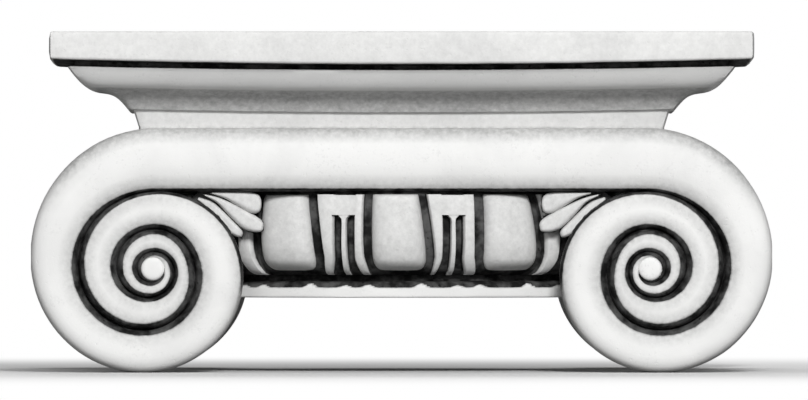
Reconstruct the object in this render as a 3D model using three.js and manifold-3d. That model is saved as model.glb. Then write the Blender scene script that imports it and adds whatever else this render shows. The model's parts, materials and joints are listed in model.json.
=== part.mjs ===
// Ionic column capital, one casting: a square abacus over two scrolled faces, with bolsters along
// the sides, an egg-and-dart echinus, three-leaf palmettes and a round neck band that sits on the shaft.
// Millimetres. The front face looks along -Y, +X is to its right, +Z is up. The back face repeats the front.

import * as THREE from 'three';
import { mergeVertices } from 'three/addons/utils/BufferGeometryUtils.js';
import Module from 'manifold-3d';

const wasm = await Module();
wasm.setup();

// Neck and bed, around the vertical axis
const SHAFT_RADIUS = 204;
const SHAFT_CLEARANCE = 3;
const BED_EDGE_ROUND = 1.5;
const NECK_BAND_HEIGHT = 13.5;
const NECK_BAND_ROUND = 6;
const RECESS_DEPTH = 12;
const RECESS_HEIGHT = 5;

// Echinus: the egg-and-dart band between the recess and the scrolls
const ECHINUS_HEIGHT = 67.5;
const BELLY_PROJECTION = 28;
const BELLY_HEIGHT = 30;
const BELLY_UNDERCUT = 20;
const BELLY_TOP_SETBACK = 8;
const EGG_COUNT = 16;
const EGG_RELIEF = 12;
const EGG_FOOT = 3.5;
const EGG_TOP_GAP = 2.4;
const EGG_TOP_HALF_WIDTH = 20;
const EGG_HALF_WIDTH = 23.3;
const EGG_WIDEST = 11;
const EGG_FOOT_SHARE = 0.72;
const EGG_TAPER = 1.5;
const EGG_ROUNDNESS = 2.6;
const SIDE_EGG_WIDENING = 1.05;
const SIDE_EGG_SHIFT = 6.5;
const SHELL_GAP = 6;
const SIDE_SHELL_GAP = 9;
const SHELL_SETBACK = 2.2;
const SHELL_BEVEL = 2.4;
const SHELL_BEND_HEIGHT = 36;
const SHELL_FOOT_TURN = 3;
const SHELL_FOOT_SPREAD = 5;
const OUTER_SHELL_EXTRA = 6.5;
const HEAD_SETBACK = 2.5;
const HEAD_BEND = 9;
const SLOT_WIDTH = 5.6;
const SLOT_TOP = 48.5;
const DART_WIDTH = 5;
const DART_SETBACK = 3;
const DART_BEVEL = 1.2;
const DART_BEND = 14;

// Palmettes: upper and lower edge of each leaf from root to tip, measured from the junction of scroll and
// canalis towards the middle and up, and the depth of the leaf's crown behind the scrolled face
const LEAVES = [
  {
    upper: [[10, -0.8], [24, -0.6], [37, -0.9], [46.5, -3.4], [50.3, -9.6]],
    lower: [[10, -1.8], [20.5, -5.2], [31, -11], [40.5, -16.2], [48.4, -17.2]],
    front: 15,
  },
  {
    upper: [[4, -2.4], [16.5, -5.8], [31, -12.8], [44.5, -20.4], [52, -25.5]],
    lower: [[4, -3.4], [14, -8.8], [24, -19.2], [36.5, -30], [50.5, -33.2]],
    front: 16.5,
  },
  {
    upper: [[-1, -4.8], [9.5, -8.8], [18.5, -16.4], [27.5, -25.4], [35.5, -32.8]],
    lower: [[-2, -6.8], [5, -13], [13.5, -23.2], [22.8, -32.2], [33.4, -38]],
    front: 18,
  },
];
const LEAF_JUNCTION = 163;
const LEAF_BACK = 90;
const LEAF_GROUND_SETBACK = 24;
const LEAF_GROUND_MARGIN = 8;
const LEAF_ROUND = 5;
const LEAF_ROUNDNESS = 2.4;
const LEAF_TIP_DROP = 4;

// Scrolls: radii of the spiral seam at each quarter turn, from the top of the volute outwards
const EYE_SPACING = 402;
const SEAM_RADII = [
  114, 98.6, 83.7, 72.8,
  62.5, 60.2, 48.5, 34.1,
  32.1, 29.1, 23, 17.1,
  13.7, 12.8, 11, 9.5,
];
const SEAM_DEPTHS = [15, 14.5, 11.5, 7, 5];
const EYE_RISE = 0.5;
const CROWN_SETBACK = 3;
const RIM_THICKNESS = 26;
const BAND_ROUNDNESS = 2.8;

// Bolsters: the spools that join the front volutes to the back ones
const BOLSTER_WAIST = 0.68;
const BOLSTER_FLARE = 2.2;
const BOLSTER_STEP = 3;
const BELT_WIDTH = 44;
const BELT_RELIEF = 0.045;
const BOLSTER_ANCHOR = 190;
const BOLSTER_ROOT = 60;

// Abacus, from its underside to its top: each run and rise of the profile
const FILLET_SETBACK = 16.3;
const FILLET_HEIGHT = 14;
const FILLET_BATTER = 4.3;
const FILLET_STEP = 4.2;
const CYMA_RUN = 47.7;
const CYMA_HEIGHT = 33;
const CYMA_SWING = 0.13;
const COVE_RUN = 11.7;
const COVE_HEIGHT = 7.5;
const SLAB_CHAMFER = 3.4;
const SLAB_HEIGHT = 22.9;
const SEAT_OVERLAP = 1;

// Facets: shares across or along a form where its facets meet
const STEPS_PER_TURN = 24;
const BOLSTER_FACETS = 18;
const ROUND_FACETS = 40;
const OUTER_BAND = [0, 0.05, 0.2, 0.5, 0.8, 0.95, 1];
const MIDDLE_BAND = [0, 0.1, 0.5, 0.5, 0.5, 0.9, 1];
const INNER_BAND = [0, 0.5, 0.5, 0.5, 0.5, 0.5, 1];
const OUTER_BAND_END = 0.25;
const MIDDLE_BAND_END = 1.25;
const EYE_RINGS = [1, 0.75];
const BOLSTER_STATIONS = [1, 0.84, 0.64, 0.4];
const GROUND_STATIONS = [0, 0.1, 0.4, 1];
const NECK_STATIONS = [0, 0.5, 1];
const EGG_ROWS = [0, 0.08, 0.22, 0.6, 0.95, 1];
const EGG_SWELL = [0, 0.75, 1, 1, 0.9, 0.2];
const EGG_COLUMNS = [-1, -0.92, -0.5, 0.5, 0.92, 1];
const LEAF_ROWS = [0, 0.35, 0.65, 0.9, 1];
const LEAF_COLUMNS = [-1, -0.6, 0.6, 1];
const LEAF_GROUND_ROWS = [0, 0.35, 0.65];
const LEAF_GROUND_COLUMNS = [0, 0.5, 1];
const CYMA_STATIONS = [0, 0.08, 0.18, 0.3, 0.44, 0.58, 0.74, 0.86, 0.94, 1];
const COVE_STATIONS = [[0.1, 0.35], [0.35, 0.75]];
const FLUSH = 2;

const QUARTERS = 4;
const EYE_X = EYE_SPACING / 2;
const BELLY_RADIUS = SHAFT_RADIUS + BELLY_PROJECTION;
const FACE_Y = BELLY_RADIUS - CROWN_SETBACK;
const PITCH = (2 * Math.PI) / EGG_COUNT;
const LAST_TURN = (SEAM_RADII.length - 1) / QUARTERS - 1;

// Smooth curve through evenly spaced values
function smooth(values, position) {
  const last = values.length - 1;
  const at = THREE.MathUtils.clamp(position, 0, last);
  const i = Math.min(Math.floor(at), last - 1);
  const f = at - i;
  const before = values[Math.max(i - 1, 0)];
  const after = values[Math.min(i + 2, last)];
  const slopeIn = (values[i + 1] - before) / 2;
  const slopeOut = (after - values[i]) / 2;
  const change = values[i + 1] - values[i];
  return values[i] + f * (slopeIn + f * ((3 * change - 2 * slopeIn - slopeOut)
    + f * (slopeIn + slopeOut - 2 * change)));
}

// Turn -1 is the top of the outer rim; each whole turn ends one seam further in
function seamRadius(turn) {
  return smooth(SEAM_RADII, (turn + 1) * QUARTERS);
}

function seamDepth(turn) {
  return smooth(SEAM_DEPTHS, ((turn + 1) / (LAST_TURN + 1)) * (SEAM_DEPTHS.length - 1));
}

function spiralPoint(side, turn, radius) {
  const angle = 2 * Math.PI * turn;
  return [side * (EYE_X + radius * Math.sin(angle)), radius * Math.cos(angle)];
}

// The lowest point of the rim stands on the ground, so the eye is that much above it
function eyeHeight() {
  let lowest = 0;
  for (let k = 0; k <= STEPS_PER_TURN; k += 1) {
    const turn = k / STEPS_PER_TURN - 1;
    lowest = Math.min(lowest, spiralPoint(1, turn, seamRadius(turn))[1]);
  }
  return -lowest;
}

const EYE_Z = eyeHeight();
const SCROLL_TOP = EYE_Z + SEAM_RADII[0];
const CREASE_Z = EYE_Z + SEAM_RADII[QUARTERS];
const ECHINUS_FOOT = CREASE_Z - ECHINUS_HEIGHT;
const BED_Z = ECHINUS_FOOT - RECESS_HEIGHT - NECK_BAND_HEIGHT;

// A closed geometry from points and triangles: equal points fused, flat triangles dropped, facing out
function closedGeometry(points, triangles) {
  const raw = new THREE.BufferGeometry();
  raw.setAttribute('position', new THREE.Float32BufferAttribute(points.flat(), 3));
  raw.setIndex(triangles.flat());
  const fused = mergeVertices(raw, 1e-3);
  const index = fused.index.array;
  const at = fused.attributes.position;
  const kept = [];
  let volume = 0;
  const a = new THREE.Vector3();
  const b = new THREE.Vector3();
  const c = new THREE.Vector3();
  for (let i = 0; i < index.length; i += 3) {
    const [p, q, r] = [index[i], index[i + 1], index[i + 2]];
    if (p !== q && q !== r && r !== p) {
      kept.push(p, q, r);
      a.fromBufferAttribute(at, p);
      b.fromBufferAttribute(at, q);
      c.fromBufferAttribute(at, r);
      volume += a.dot(b.cross(c));
    }
  }
  fused.setIndex(volume > 0 ? kept : kept.reverse());
  return fused;
}

// Triangles that fill a plane outline and run the same way round as it does
function filled(outline) {
  const triangles = THREE.ShapeUtils.triangulateShape(outline, []);
  return THREE.ShapeUtils.isClockWise(outline) ? triangles.map(([p, q, r]) => [p, r, q]) : triangles;
}

// A body between a front grid of points and a back grid of the same size
function bodyBetween(front, back) {
  const rows = front.length;
  const columns = front[0].length;
  const points = [...front.flat(), ...back.flat()];
  const behind = rows * columns;
  const triangles = [];
  const quad = (p, q, r, s) => triangles.push([p, q, r], [p, r, s]);
  for (let i = 0; i + 1 < rows; i += 1) {
    for (let j = 0; j + 1 < columns; j += 1) {
      const p = i * columns + j;
      quad(p, p + 1, p + columns + 1, p + columns);
      quad(behind + p, behind + p + columns, behind + p + columns + 1, behind + p + 1);
    }
  }
  const edge = [];
  for (let j = 0; j + 1 < columns; j += 1) edge.push(j);
  for (let i = 0; i + 1 < rows; i += 1) edge.push(i * columns + columns - 1);
  for (let j = columns - 1; j > 0; j -= 1) edge.push((rows - 1) * columns + j);
  for (let i = rows - 1; i > 0; i -= 1) edge.push(i * columns);
  for (let k = 0; k < edge.length; k += 1) {
    const p = edge[k];
    const q = edge[(k + 1) % edge.length];
    quad(p, behind + p, behind + q, q);
  }
  return closedGeometry(points, triangles);
}

function toManifold(geometry) {
  const at = geometry.attributes.position;
  const corner = (i) => [at.getX(i), at.getY(i), at.getZ(i)];
  const points = Array.from({ length: at.count }, (_, i) => corner(i));
  const index = Array.from(geometry.index.array);
  const closed = closedGeometry(points, index);
  const mesh = new wasm.Mesh({
    numProp: 3,
    vertProperties: Float32Array.from(closed.attributes.position.array),
    triVerts: Uint32Array.from(closed.index.array),
  });
  return new wasm.Manifold(mesh);
}

function toGeometry(solid) {
  const mesh = solid.getMesh();
  const geometry = new THREE.BufferGeometry();
  geometry.setAttribute('position', new THREE.Float32BufferAttribute(mesh.vertProperties, 3));
  geometry.setIndex(Array.from(mesh.triVerts));
  geometry.computeVertexNormals();
  return geometry;
}

function joined(geometries) {
  return geometries.map(toManifold).reduce((whole, next) => whole.add(next));
}

// Point on a smooth curve through evenly spaced points
function smoothPoint(points, share) {
  const at = share * (points.length - 1);
  return [0, 1].map((axis) => smooth(points.map((point) => point[axis]), at));
}

// The same body on the back face
function turnedRound(geometry) {
  return geometry.clone().rotateZ(Math.PI);
}

// How far a rounded band has fallen from its crown, 1 at its edges and 0 along its middle
function bandFall(u) {
  const across = Math.abs(2 * u - 1) ** BAND_ROUNDNESS;
  return 1 - Math.max(0, 1 - across) ** (1 / BAND_ROUNDNESS);
}

// One cross-section of the band, from its outer seam to its inner one. A narrow band stays low, and the
// inner turns have fewer facets: points at one place fuse
function bandSection(side, turn) {
  const width = seamRadius(turn) - seamRadius(turn + 1);
  const wide = turn < OUTER_BAND_END ? OUTER_BAND : MIDDLE_BAND;
  const across = turn < MIDDLE_BAND_END ? wide : INNER_BAND;
  return across.map((u) => {
    const radius = seamRadius(turn) - width * u;
    const depth = THREE.MathUtils.lerp(seamDepth(turn), seamDepth(turn + 1), u);
    const rise = Math.min(depth, width) * (1 - bandFall(u));
    const [x, z] = spiralPoint(side, turn, radius);
    return [x, depth - rise - FACE_Y, EYE_Z + z];
  });
}

// The scroll of one face: a rounded band from one eye up, across as the canalis, and down to the other eye
function scrollFace() {
  const sections = [];
  const steps = Math.round((LAST_TURN + 1) * STEPS_PER_TURN);
  for (let k = steps; k >= 0; k -= 1) sections.push(bandSection(-1, k / STEPS_PER_TURN - 1));
  for (let k = 0; k <= steps; k += 1) sections.push(bandSection(1, k / STEPS_PER_TURN - 1));
  const columns = sections[0].length;
  const points = sections.flat();
  const triangles = [];
  const quad = (p, q, r, s) => triangles.push([p, q, r], [p, r, s]);
  for (let i = 0; i + 1 < sections.length; i += 1) {
    for (let j = 0; j + 1 < columns; j += 1) {
      const p = i * columns + j;
      quad(p, p + 1, p + columns + 1, p + columns);
    }
  }

  // Rim wall and flat back, round the silhouette from the left inner top to the right one
  const rim = [];
  for (let i = steps - STEPS_PER_TURN; i <= steps + 1 + STEPS_PER_TURN; i += 1) rim.push(i * columns);
  const backY = RIM_THICKNESS - FACE_Y;
  const behind = points.length;
  rim.forEach((p) => points.push([points[p][0], backY, points[p][2]]));
  for (let k = 0; k < rim.length; k += 1) {
    const next = (k + 1) % rim.length;
    quad(rim[k], rim[next], behind + next, behind + k);
  }
  const outline = rim.map((p) => new THREE.Vector2(points[p][0], points[p][2]));
  filled(outline).forEach(([p, q, r]) => triangles.push([behind + p, behind + q, behind + r]));

  // Eye buttons: a low dome inside the last turn of each seam
  [-1, 1].forEach((side) => {
    const rings = EYE_RINGS.map((share) => {
      const ring = [];
      const radius = SEAM_RADII.at(-1) * share;
      const rise = Math.sqrt(1 - share * share);
      const depth = THREE.MathUtils.lerp(SEAM_DEPTHS.at(-1), -EYE_RISE, rise);
      for (let k = 0; k < STEPS_PER_TURN; k += 1) {
        const [x, z] = spiralPoint(side, k / STEPS_PER_TURN, radius);
        ring.push([x, depth - FACE_Y, EYE_Z + z]);
      }
      return ring;
    });
    const start = points.length;
    rings.forEach((ring) => points.push(...ring));
    const centre = points.length;
    points.push([side * EYE_X, -EYE_RISE - FACE_Y, EYE_Z]);
    for (let k = 0; k < STEPS_PER_TURN; k += 1) {
      const next = (k + 1) % STEPS_PER_TURN;
      const order = side > 0 ? [next, k] : [k, next];
      for (let i = 0; i + 1 < rings.length; i += 1) {
        const p = start + i * STEPS_PER_TURN;
        quad(p + order[0], p + order[1], p + STEPS_PER_TURN + order[1], p + STEPS_PER_TURN + order[0]);
      }
      const last = start + (rings.length - 1) * STEPS_PER_TURN;
      triangles.push([last + order[0], last + order[1], centre]);
    }
  });
  return closedGeometry(points, triangles);
}

// One bolster: the rim outline drawn in towards a point under the abacus, tightest at the belt
function bolster(side) {
  const half = FACE_Y - RIM_THICKNESS + FLUSH;
  const belt = BELT_WIDTH / 2;
  const places = BOLSTER_STATIONS.map((share) => [-half * share, 0]);
  places.push([-belt - FLUSH, 0], [-belt, BELT_RELIEF]);
  const stations = [...places, ...places.map(([y, relief]) => [-y, relief]).reverse()];
  const anchor = [side * BOLSTER_ANCHOR, SCROLL_TOP + 2 * FLUSH];
  const rings = stations.map(([y, relief]) => {
    const flare = Math.abs(y / half) ** BOLSTER_FLARE;
    const scale = THREE.MathUtils.lerp(BOLSTER_WAIST, 1, flare) + relief;
    const ring = [];
    for (let k = 0; k <= BOLSTER_FACETS; k += 1) {
      const turn = k / BOLSTER_FACETS - 1;
      const [x, z] = spiralPoint(side, turn, seamRadius(turn) - BOLSTER_STEP);
      ring.push([x, EYE_Z + z]);
    }
    ring.push([side * (BOLSTER_ANCHOR - BOLSTER_ROOT), CREASE_Z + 2 * FLUSH]);
    ring.push([side * (BOLSTER_ANCHOR - BOLSTER_ROOT), SCROLL_TOP]);
    return ring.map(([x, z]) => [
      anchor[0] + scale * (x - anchor[0]),
      y,
      anchor[1] + scale * (z - anchor[1]),
    ]);
  });
  const around = rings[0].length;
  const points = rings.flat();
  const triangles = [];
  for (let i = 0; i + 1 < rings.length; i += 1) {
    for (let j = 0; j < around; j += 1) {
      const p = i * around + j;
      const q = i * around + ((j + 1) % around);
      triangles.push([p, q, q + around], [p, q + around, p + around]);
    }
  }
  const outline = rings[0].map(([x, , z]) => new THREE.Vector2(x, z));
  const end = (rings.length - 1) * around;
  filled(outline).forEach(([p, q, r]) => triangles.push([p, r, q], [end + p, end + q, end + r]));
  return closedGeometry(points, triangles);
}

// Block between the scrolls, let into both faces and into the abacus
function cushion() {
  const depth = 2 * (FACE_Y - RIM_THICKNESS + FLUSH);
  const height = SCROLL_TOP + FLUSH - CREASE_Z;
  const block = new THREE.BoxGeometry(2 * BOLSTER_ANCHOR, depth, height);
  return block.translate(0, 0, CREASE_Z + FLUSH / 2 + height / 2);
}

// Radius of the echinus at a height above its foot, measured to the front of the eggs
function bellyRadius(height) {
  const below = height < BELLY_HEIGHT;
  const reach = below ? BELLY_HEIGHT : ECHINUS_HEIGHT - BELLY_HEIGHT;
  const share = Math.min(1, Math.abs(height - BELLY_HEIGHT) / reach);
  const fall = below ? BELLY_UNDERCUT : BELLY_TOP_SETBACK;
  return BELLY_RADIUS - fall * (1 - Math.sqrt(1 - share * share));
}

// Neck band, recess and the ground that the eggs stand on, turned about the axis
function neckAndGround() {
  const ground = GROUND_STATIONS.map((share) => {
    const height = ECHINUS_HEIGHT * share;
    return [bellyRadius(height) - EGG_RELIEF, ECHINUS_FOOT + height];
  });
  const bandTop = BED_Z + NECK_BAND_HEIGHT;
  const recess = SHAFT_RADIUS - RECESS_DEPTH;
  const round = NECK_STATIONS.map((share) => [
    SHAFT_RADIUS - NECK_BAND_ROUND * (1 - Math.sqrt(1 - share * share)),
    bandTop - NECK_BAND_ROUND * (1 - share),
  ]);
  const profile = [
    [0, BED_Z],
    [SHAFT_RADIUS - BED_EDGE_ROUND, BED_Z],
    [SHAFT_RADIUS, BED_Z + BED_EDGE_ROUND],
    ...round,
    [recess, bandTop],
    [recess, ECHINUS_FOOT],
    ...ground,
    [ground.at(-1)[0], CREASE_Z + 2 * FLUSH],
    [0, CREASE_Z + 2 * FLUSH],
  ];
  const lathe = new THREE.LatheGeometry(profile.map(([r, z]) => new THREE.Vector2(r, z)), ROUND_FACETS);
  return lathe.rotateX(Math.PI / 2);
}

// A point on the echinus: angle from the middle of the front, radius and height above the echinus foot
function onEchinus(angle, radius, height) {
  return [radius * Math.sin(angle), -radius * Math.cos(angle), ECHINUS_FOOT + height];
}

// Half the width of an egg: a quarter ellipse up to its widest height, then a slow taper to its top
function eggHalfWidth(height) {
  const low = EGG_FOOT;
  const wide = EGG_FOOT + EGG_WIDEST;
  const top = ECHINUS_HEIGHT - EGG_TOP_GAP;
  if (height < wide) {
    const share = (wide - height) / (wide - low);
    const swell = Math.sqrt(Math.max(0, 1 - share * share));
    return EGG_HALF_WIDTH * THREE.MathUtils.lerp(EGG_FOOT_SHARE, 1, swell);
  }
  const share = (height - wide) / (top - wide);
  return THREE.MathUtils.lerp(EGG_HALF_WIDTH, EGG_TOP_HALF_WIDTH, share ** EGG_TAPER);
}

// Pieces of the band are numbered by their place in pitches from the middle of the front. The eggs beside the
// middle one are a little wider and stand a little further out
function widening(number) {
  return number === 0 ? 1 : SIDE_EGG_WIDENING;
}

function eggAngle(number) {
  return number * PITCH + (Math.sign(number) * SIDE_EGG_SHIFT) / BELLY_RADIUS;
}

const core = (height) => bellyRadius(height) - 2 * EGG_RELIEF;

// One egg: wide and round below, cut off by the canalis above
function egg(number) {
  const angle = eggAngle(number);
  const top = ECHINUS_HEIGHT - EGG_TOP_GAP;
  const span = top - EGG_FOOT;
  const front = [];
  const back = [];
  EGG_ROWS.forEach((row, i) => {
    const height = EGG_FOOT + span * row;
    const width = eggHalfWidth(height) * widening(number);
    const ground = bellyRadius(height) - EGG_RELIEF - FLUSH;
    const place = (column, radius) => onEchinus(angle + (column * width) / BELLY_RADIUS, radius, height);
    front.push(EGG_COLUMNS.map((column) => {
      const roundness = Math.sqrt(1 - Math.abs(column) ** EGG_ROUNDNESS);
      return place(column, ground + (EGG_RELIEF + FLUSH) * roundness * EGG_SWELL[i]);
    }));
    back.push(EGG_COLUMNS.map((column) => place(column, core(height))));
  });
  return bodyBetween(front, back);
}

// A flat-topped rib on the echinus between two edges, each a distance along the arc at a height
function rib(angle, heights, leftEdge, rightEdge, setback, bevel) {
  const front = [];
  const back = [];
  heights.forEach((height) => {
    const left = leftEdge(height);
    const right = rightEdge(height);
    const crown = bellyRadius(height) - setback;
    const ground = bellyRadius(height) - EGG_RELIEF - FLUSH;
    const place = (arc, radius) => onEchinus(angle + arc / BELLY_RADIUS, radius, height);
    front.push([
      place(left, ground),
      place(left + bevel, crown),
      place(right - bevel, crown),
      place(right, ground),
    ]);
    back.push([left, left + bevel, right - bevel, right].map((arc) => place(arc, core(height))));
  });
  return bodyBetween(front, back);
}

// The outermost darts stand beside wider shells
function dartAngle(number) {
  const extra = Math.abs(number) > 1 ? SIDE_EGG_SHIFT + OUTER_SHELL_EXTRA : 0;
  return number * PITCH + (Math.sign(number) * extra) / BELLY_RADIUS;
}

// One shell leg beside an egg, from the canalis to its foot that turns in under the egg
function shellLeg(dartNumber, eggNumber) {
  const side = Math.sign(eggNumber - dartNumber);
  const reach = Math.abs(eggAngle(eggNumber) - dartAngle(dartNumber)) * BELLY_RADIUS;
  const gap = Math.abs(dartNumber) < Math.abs(eggNumber) ? SIDE_SHELL_GAP : SHELL_GAP;
  const bottom = EGG_FOOT + EGG_WIDEST;
  const heights = [0, bottom / 2, bottom, SHELL_BEND_HEIGHT, ECHINUS_HEIGHT - EGG_TOP_GAP];
  const foot = (height) => Math.max(0, 1 - height / bottom);
  const outer = (height) => DART_WIDTH / 2 + SLOT_WIDTH + SHELL_FOOT_SPREAD * foot(height) ** 2;
  const inner = (height) => {
    const half = eggHalfWidth(Math.max(height, bottom)) * widening(eggNumber);
    return reach - half - gap + SHELL_FOOT_TURN * foot(height);
  };
  const edges = side > 0 ? [outer, inner] : [(height) => -inner(height), (height) => -outer(height)];
  return rib(dartAngle(dartNumber), heights, ...edges, SHELL_SETBACK, SHELL_BEVEL);
}

function dart(number) {
  const heights = [0, DART_BEND, SLOT_TOP + FLUSH];
  const half = DART_WIDTH / 2;
  return rib(dartAngle(number), heights, () => -half, () => half, DART_SETBACK, DART_BEVEL);
}

// The flat head that joins two shell legs and the dart under the canalis
function shellHead(number) {
  const heights = [SLOT_TOP, SLOT_TOP + HEAD_BEND, ECHINUS_HEIGHT - EGG_TOP_GAP - FLUSH / 2];
  const half = DART_WIDTH / 2 + SLOT_WIDTH + SHELL_BEVEL + FLUSH;
  return rib(dartAngle(number), heights, () => -half, () => half, HEAD_SETBACK, SHELL_BEVEL);
}

// Ground behind the leaves of one palmette: the fan from their roots to two thirds of their length, let into
// the scroll, the canalis and the echinus
function leafGround(side) {
  const lowest = LEAVES[LEAVES.length - 1].lower;
  const highest = LEAVES[0].upper;
  const grid = (y) => LEAF_GROUND_ROWS.map((along) => {
    const low = smoothPoint(lowest, along);
    const high = smoothPoint(highest, along);
    return LEAF_GROUND_COLUMNS.map((share) => [
      side * (LEAF_JUNCTION - THREE.MathUtils.lerp(low[0] - LEAF_GROUND_MARGIN, high[0], share)),
      y,
      CREASE_Z + THREE.MathUtils.lerp(low[1], high[1] + LEAF_GROUND_MARGIN, share),
    ]);
  });
  return bodyBetween(grid(LEAF_GROUND_SETBACK - FACE_Y), grid(LEAF_BACK - FACE_Y));
}

// One palmette leaf: a petal between its two edges, rounded across and lower at its tip
function leaf(side, { upper, lower, front }) {
  const tip = LEAF_ROWS.length - 1;
  const frontGrid = [];
  const backGrid = [];
  LEAF_ROWS.forEach((along, i) => {
    const high = smoothPoint(upper, along);
    const low = smoothPoint(lower, along);
    const place = (column, y) => {
      const share = (column + 1) / 2;
      const inward = THREE.MathUtils.lerp(low[0], high[0], share);
      const rise = THREE.MathUtils.lerp(low[1], high[1], share);
      return [side * (LEAF_JUNCTION - inward), y, CREASE_Z + rise];
    };
    const drop = i === tip ? LEAF_TIP_DROP : 0;
    frontGrid.push(LEAF_COLUMNS.map((column) => {
      const fall = LEAF_ROUND * (1 - Math.sqrt(1 - Math.abs(column) ** LEAF_ROUNDNESS));
      return place(column, front + fall + drop - FACE_Y);
    }));
    backGrid.push(LEAF_COLUMNS.map((column) => place(column, LEAF_BACK - FACE_Y)));
  });
  return bodyBetween(frontGrid, backGrid);
}

// Abacus: the moulded profile carried round a square, mitred at its corners
function abacus() {
  const base = SCROLL_TOP - SEAT_OVERLAP;
  const fillet = FACE_Y - FILLET_SETBACK;
  const cymaFoot = fillet + FILLET_BATTER + FILLET_STEP;
  const cymaBase = SCROLL_TOP + FILLET_HEIGHT;
  const cymaTop = cymaBase + CYMA_HEIGHT;
  const coveTop = cymaTop + COVE_HEIGHT;
  const slabHalf = cymaFoot + CYMA_RUN + COVE_RUN + SLAB_CHAMFER;
  const cyma = CYMA_STATIONS.map((run) => {
    const rise = run + CYMA_SWING * Math.sin(2 * Math.PI * run);
    return [cymaFoot + CYMA_RUN * run, cymaBase + CYMA_HEIGHT * rise];
  });
  const cove = COVE_STATIONS.map(([run, rise]) => [
    cymaFoot + CYMA_RUN + COVE_RUN * run,
    cymaTop + COVE_HEIGHT * rise,
  ]);
  const profile = [
    [0, base],
    [fillet, base],
    [fillet + FILLET_BATTER, cymaBase - FLUSH / 4],
    ...cyma,
    ...cove,
    [cymaFoot + CYMA_RUN + COVE_RUN, coveTop],
    [slabHalf, coveTop + SLAB_CHAMFER],
    [slabHalf, coveTop + SLAB_HEIGHT],
    [0, coveTop + SLAB_HEIGHT],
  ];
  const corners = profile.map(([half, z]) => new THREE.Vector2(half * Math.SQRT2, z));
  const square = new THREE.LatheGeometry(corners, 4);
  return square.rotateX(Math.PI / 2).rotateZ(Math.PI / 4);
}

// Space that the shaft takes under the bed, cleared out of the bolsters
function shaftSpace() {
  const top = BED_Z + SHAFT_CLEARANCE;
  const height = top + FLUSH;
  const space = new THREE.CylinderGeometry(
    SHAFT_RADIUS + SHAFT_CLEARANCE,
    SHAFT_RADIUS + SHAFT_CLEARANCE,
    height,
    ROUND_FACETS,
  );
  return space.rotateX(Math.PI / 2).translate(0, 0, top - height / 2);
}

function faceCarving() {
  const bodies = [];
  [-1, 0, 1].forEach((number) => {
    bodies.push(egg(number), shellLeg(number - 0.5, number), shellLeg(number + 0.5, number));
  });
  [-0.5, 0.5].forEach((number) => bodies.push(dart(number), shellHead(number)));
  [-1, 1].forEach((side) => {
    bodies.push(leafGround(side));
    LEAVES.forEach((shape) => bodies.push(leaf(side, shape)));
  });
  return bodies;
}

const front = scrollFace();
const scrolls = joined([front, turnedRound(front), bolster(-1), bolster(1), cushion()])
  .subtract(toManifold(shaftSpace()));
const carving = faceCarving();
const whole = joined([neckAndGround(), abacus(), ...carving, ...carving.map(turnedRound)]).add(scrolls);

const plaster = new THREE.MeshStandardMaterial({ color: 0xdcdcda, roughness: 0.75, metalness: 0 });
const capital = new THREE.Mesh(toGeometry(whole), plaster);
capital.name = 'capital';

const part = new THREE.Group();
part.add(capital);

export default part;
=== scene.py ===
import json
import math

import bmesh
import bpy
import numpy as np
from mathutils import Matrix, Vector

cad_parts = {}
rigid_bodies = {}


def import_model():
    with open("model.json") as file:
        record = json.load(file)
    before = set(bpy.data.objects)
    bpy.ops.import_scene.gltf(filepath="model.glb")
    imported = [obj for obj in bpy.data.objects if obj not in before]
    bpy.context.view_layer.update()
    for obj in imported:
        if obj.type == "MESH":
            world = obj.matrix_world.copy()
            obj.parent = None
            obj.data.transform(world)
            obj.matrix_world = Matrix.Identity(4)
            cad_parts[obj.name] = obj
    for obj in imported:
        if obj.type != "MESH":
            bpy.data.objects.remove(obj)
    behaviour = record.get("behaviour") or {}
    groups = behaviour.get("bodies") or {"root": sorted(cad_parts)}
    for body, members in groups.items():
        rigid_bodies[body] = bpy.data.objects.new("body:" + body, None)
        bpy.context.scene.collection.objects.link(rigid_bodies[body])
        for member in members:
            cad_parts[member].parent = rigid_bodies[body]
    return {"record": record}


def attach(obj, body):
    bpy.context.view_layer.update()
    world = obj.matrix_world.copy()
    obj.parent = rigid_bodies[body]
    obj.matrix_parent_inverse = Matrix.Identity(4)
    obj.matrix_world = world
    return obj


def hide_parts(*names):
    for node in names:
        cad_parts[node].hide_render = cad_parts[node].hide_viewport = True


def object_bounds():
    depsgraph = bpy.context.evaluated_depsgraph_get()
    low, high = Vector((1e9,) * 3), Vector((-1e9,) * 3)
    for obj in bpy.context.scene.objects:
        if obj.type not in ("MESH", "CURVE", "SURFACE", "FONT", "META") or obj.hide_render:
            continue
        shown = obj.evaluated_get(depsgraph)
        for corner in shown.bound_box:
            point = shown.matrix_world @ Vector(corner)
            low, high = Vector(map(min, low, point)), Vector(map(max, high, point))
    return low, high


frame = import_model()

# Ionic column capital, one casting in white stone with dark patina and painted shade in its hollows.
# Metres. The front face looks along -Y and the back face repeats it, the shaft stands under the round bed and
# +Z is up.

bl_info = {
    "name": "Ionic capital",
    "version": (1, 0, 0),
    "blender": (4, 5, 0),
    "location": "3D View > Sidebar > Capital",
    "description": "Models a cast stone ionic capital and the studio stage it is seen on",
    "category": "Add Mesh",
}

CAD_LOW, CAD_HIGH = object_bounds()
CAD_NODE = "capital"
BODY = "root"
MOUNT_HEIGHT = {mount["name"]: mount["pos_m"][2] for mount in frame["record"]["mounts"]}
STONE_COLOR = tuple(frame["record"]["materials"][0]["base_color"])

MM = 0.001
QUARTERS = 4
FLUSH = 2 * MM
SOFTEN = 0.5 * MM
PREFIX = "capital_"
PARTS = "capital_parts"
PATINA_AND_SHADE = "patina"
SEAM_SPREAD = 4


# Sizes and colours, with lengths given in millimetres

def length_field(name, description, size):
    """A length that the panel shows in the scene's units."""
    return bpy.props.FloatProperty(name=name, description=description, default=size * MM, unit="LENGTH")


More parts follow.
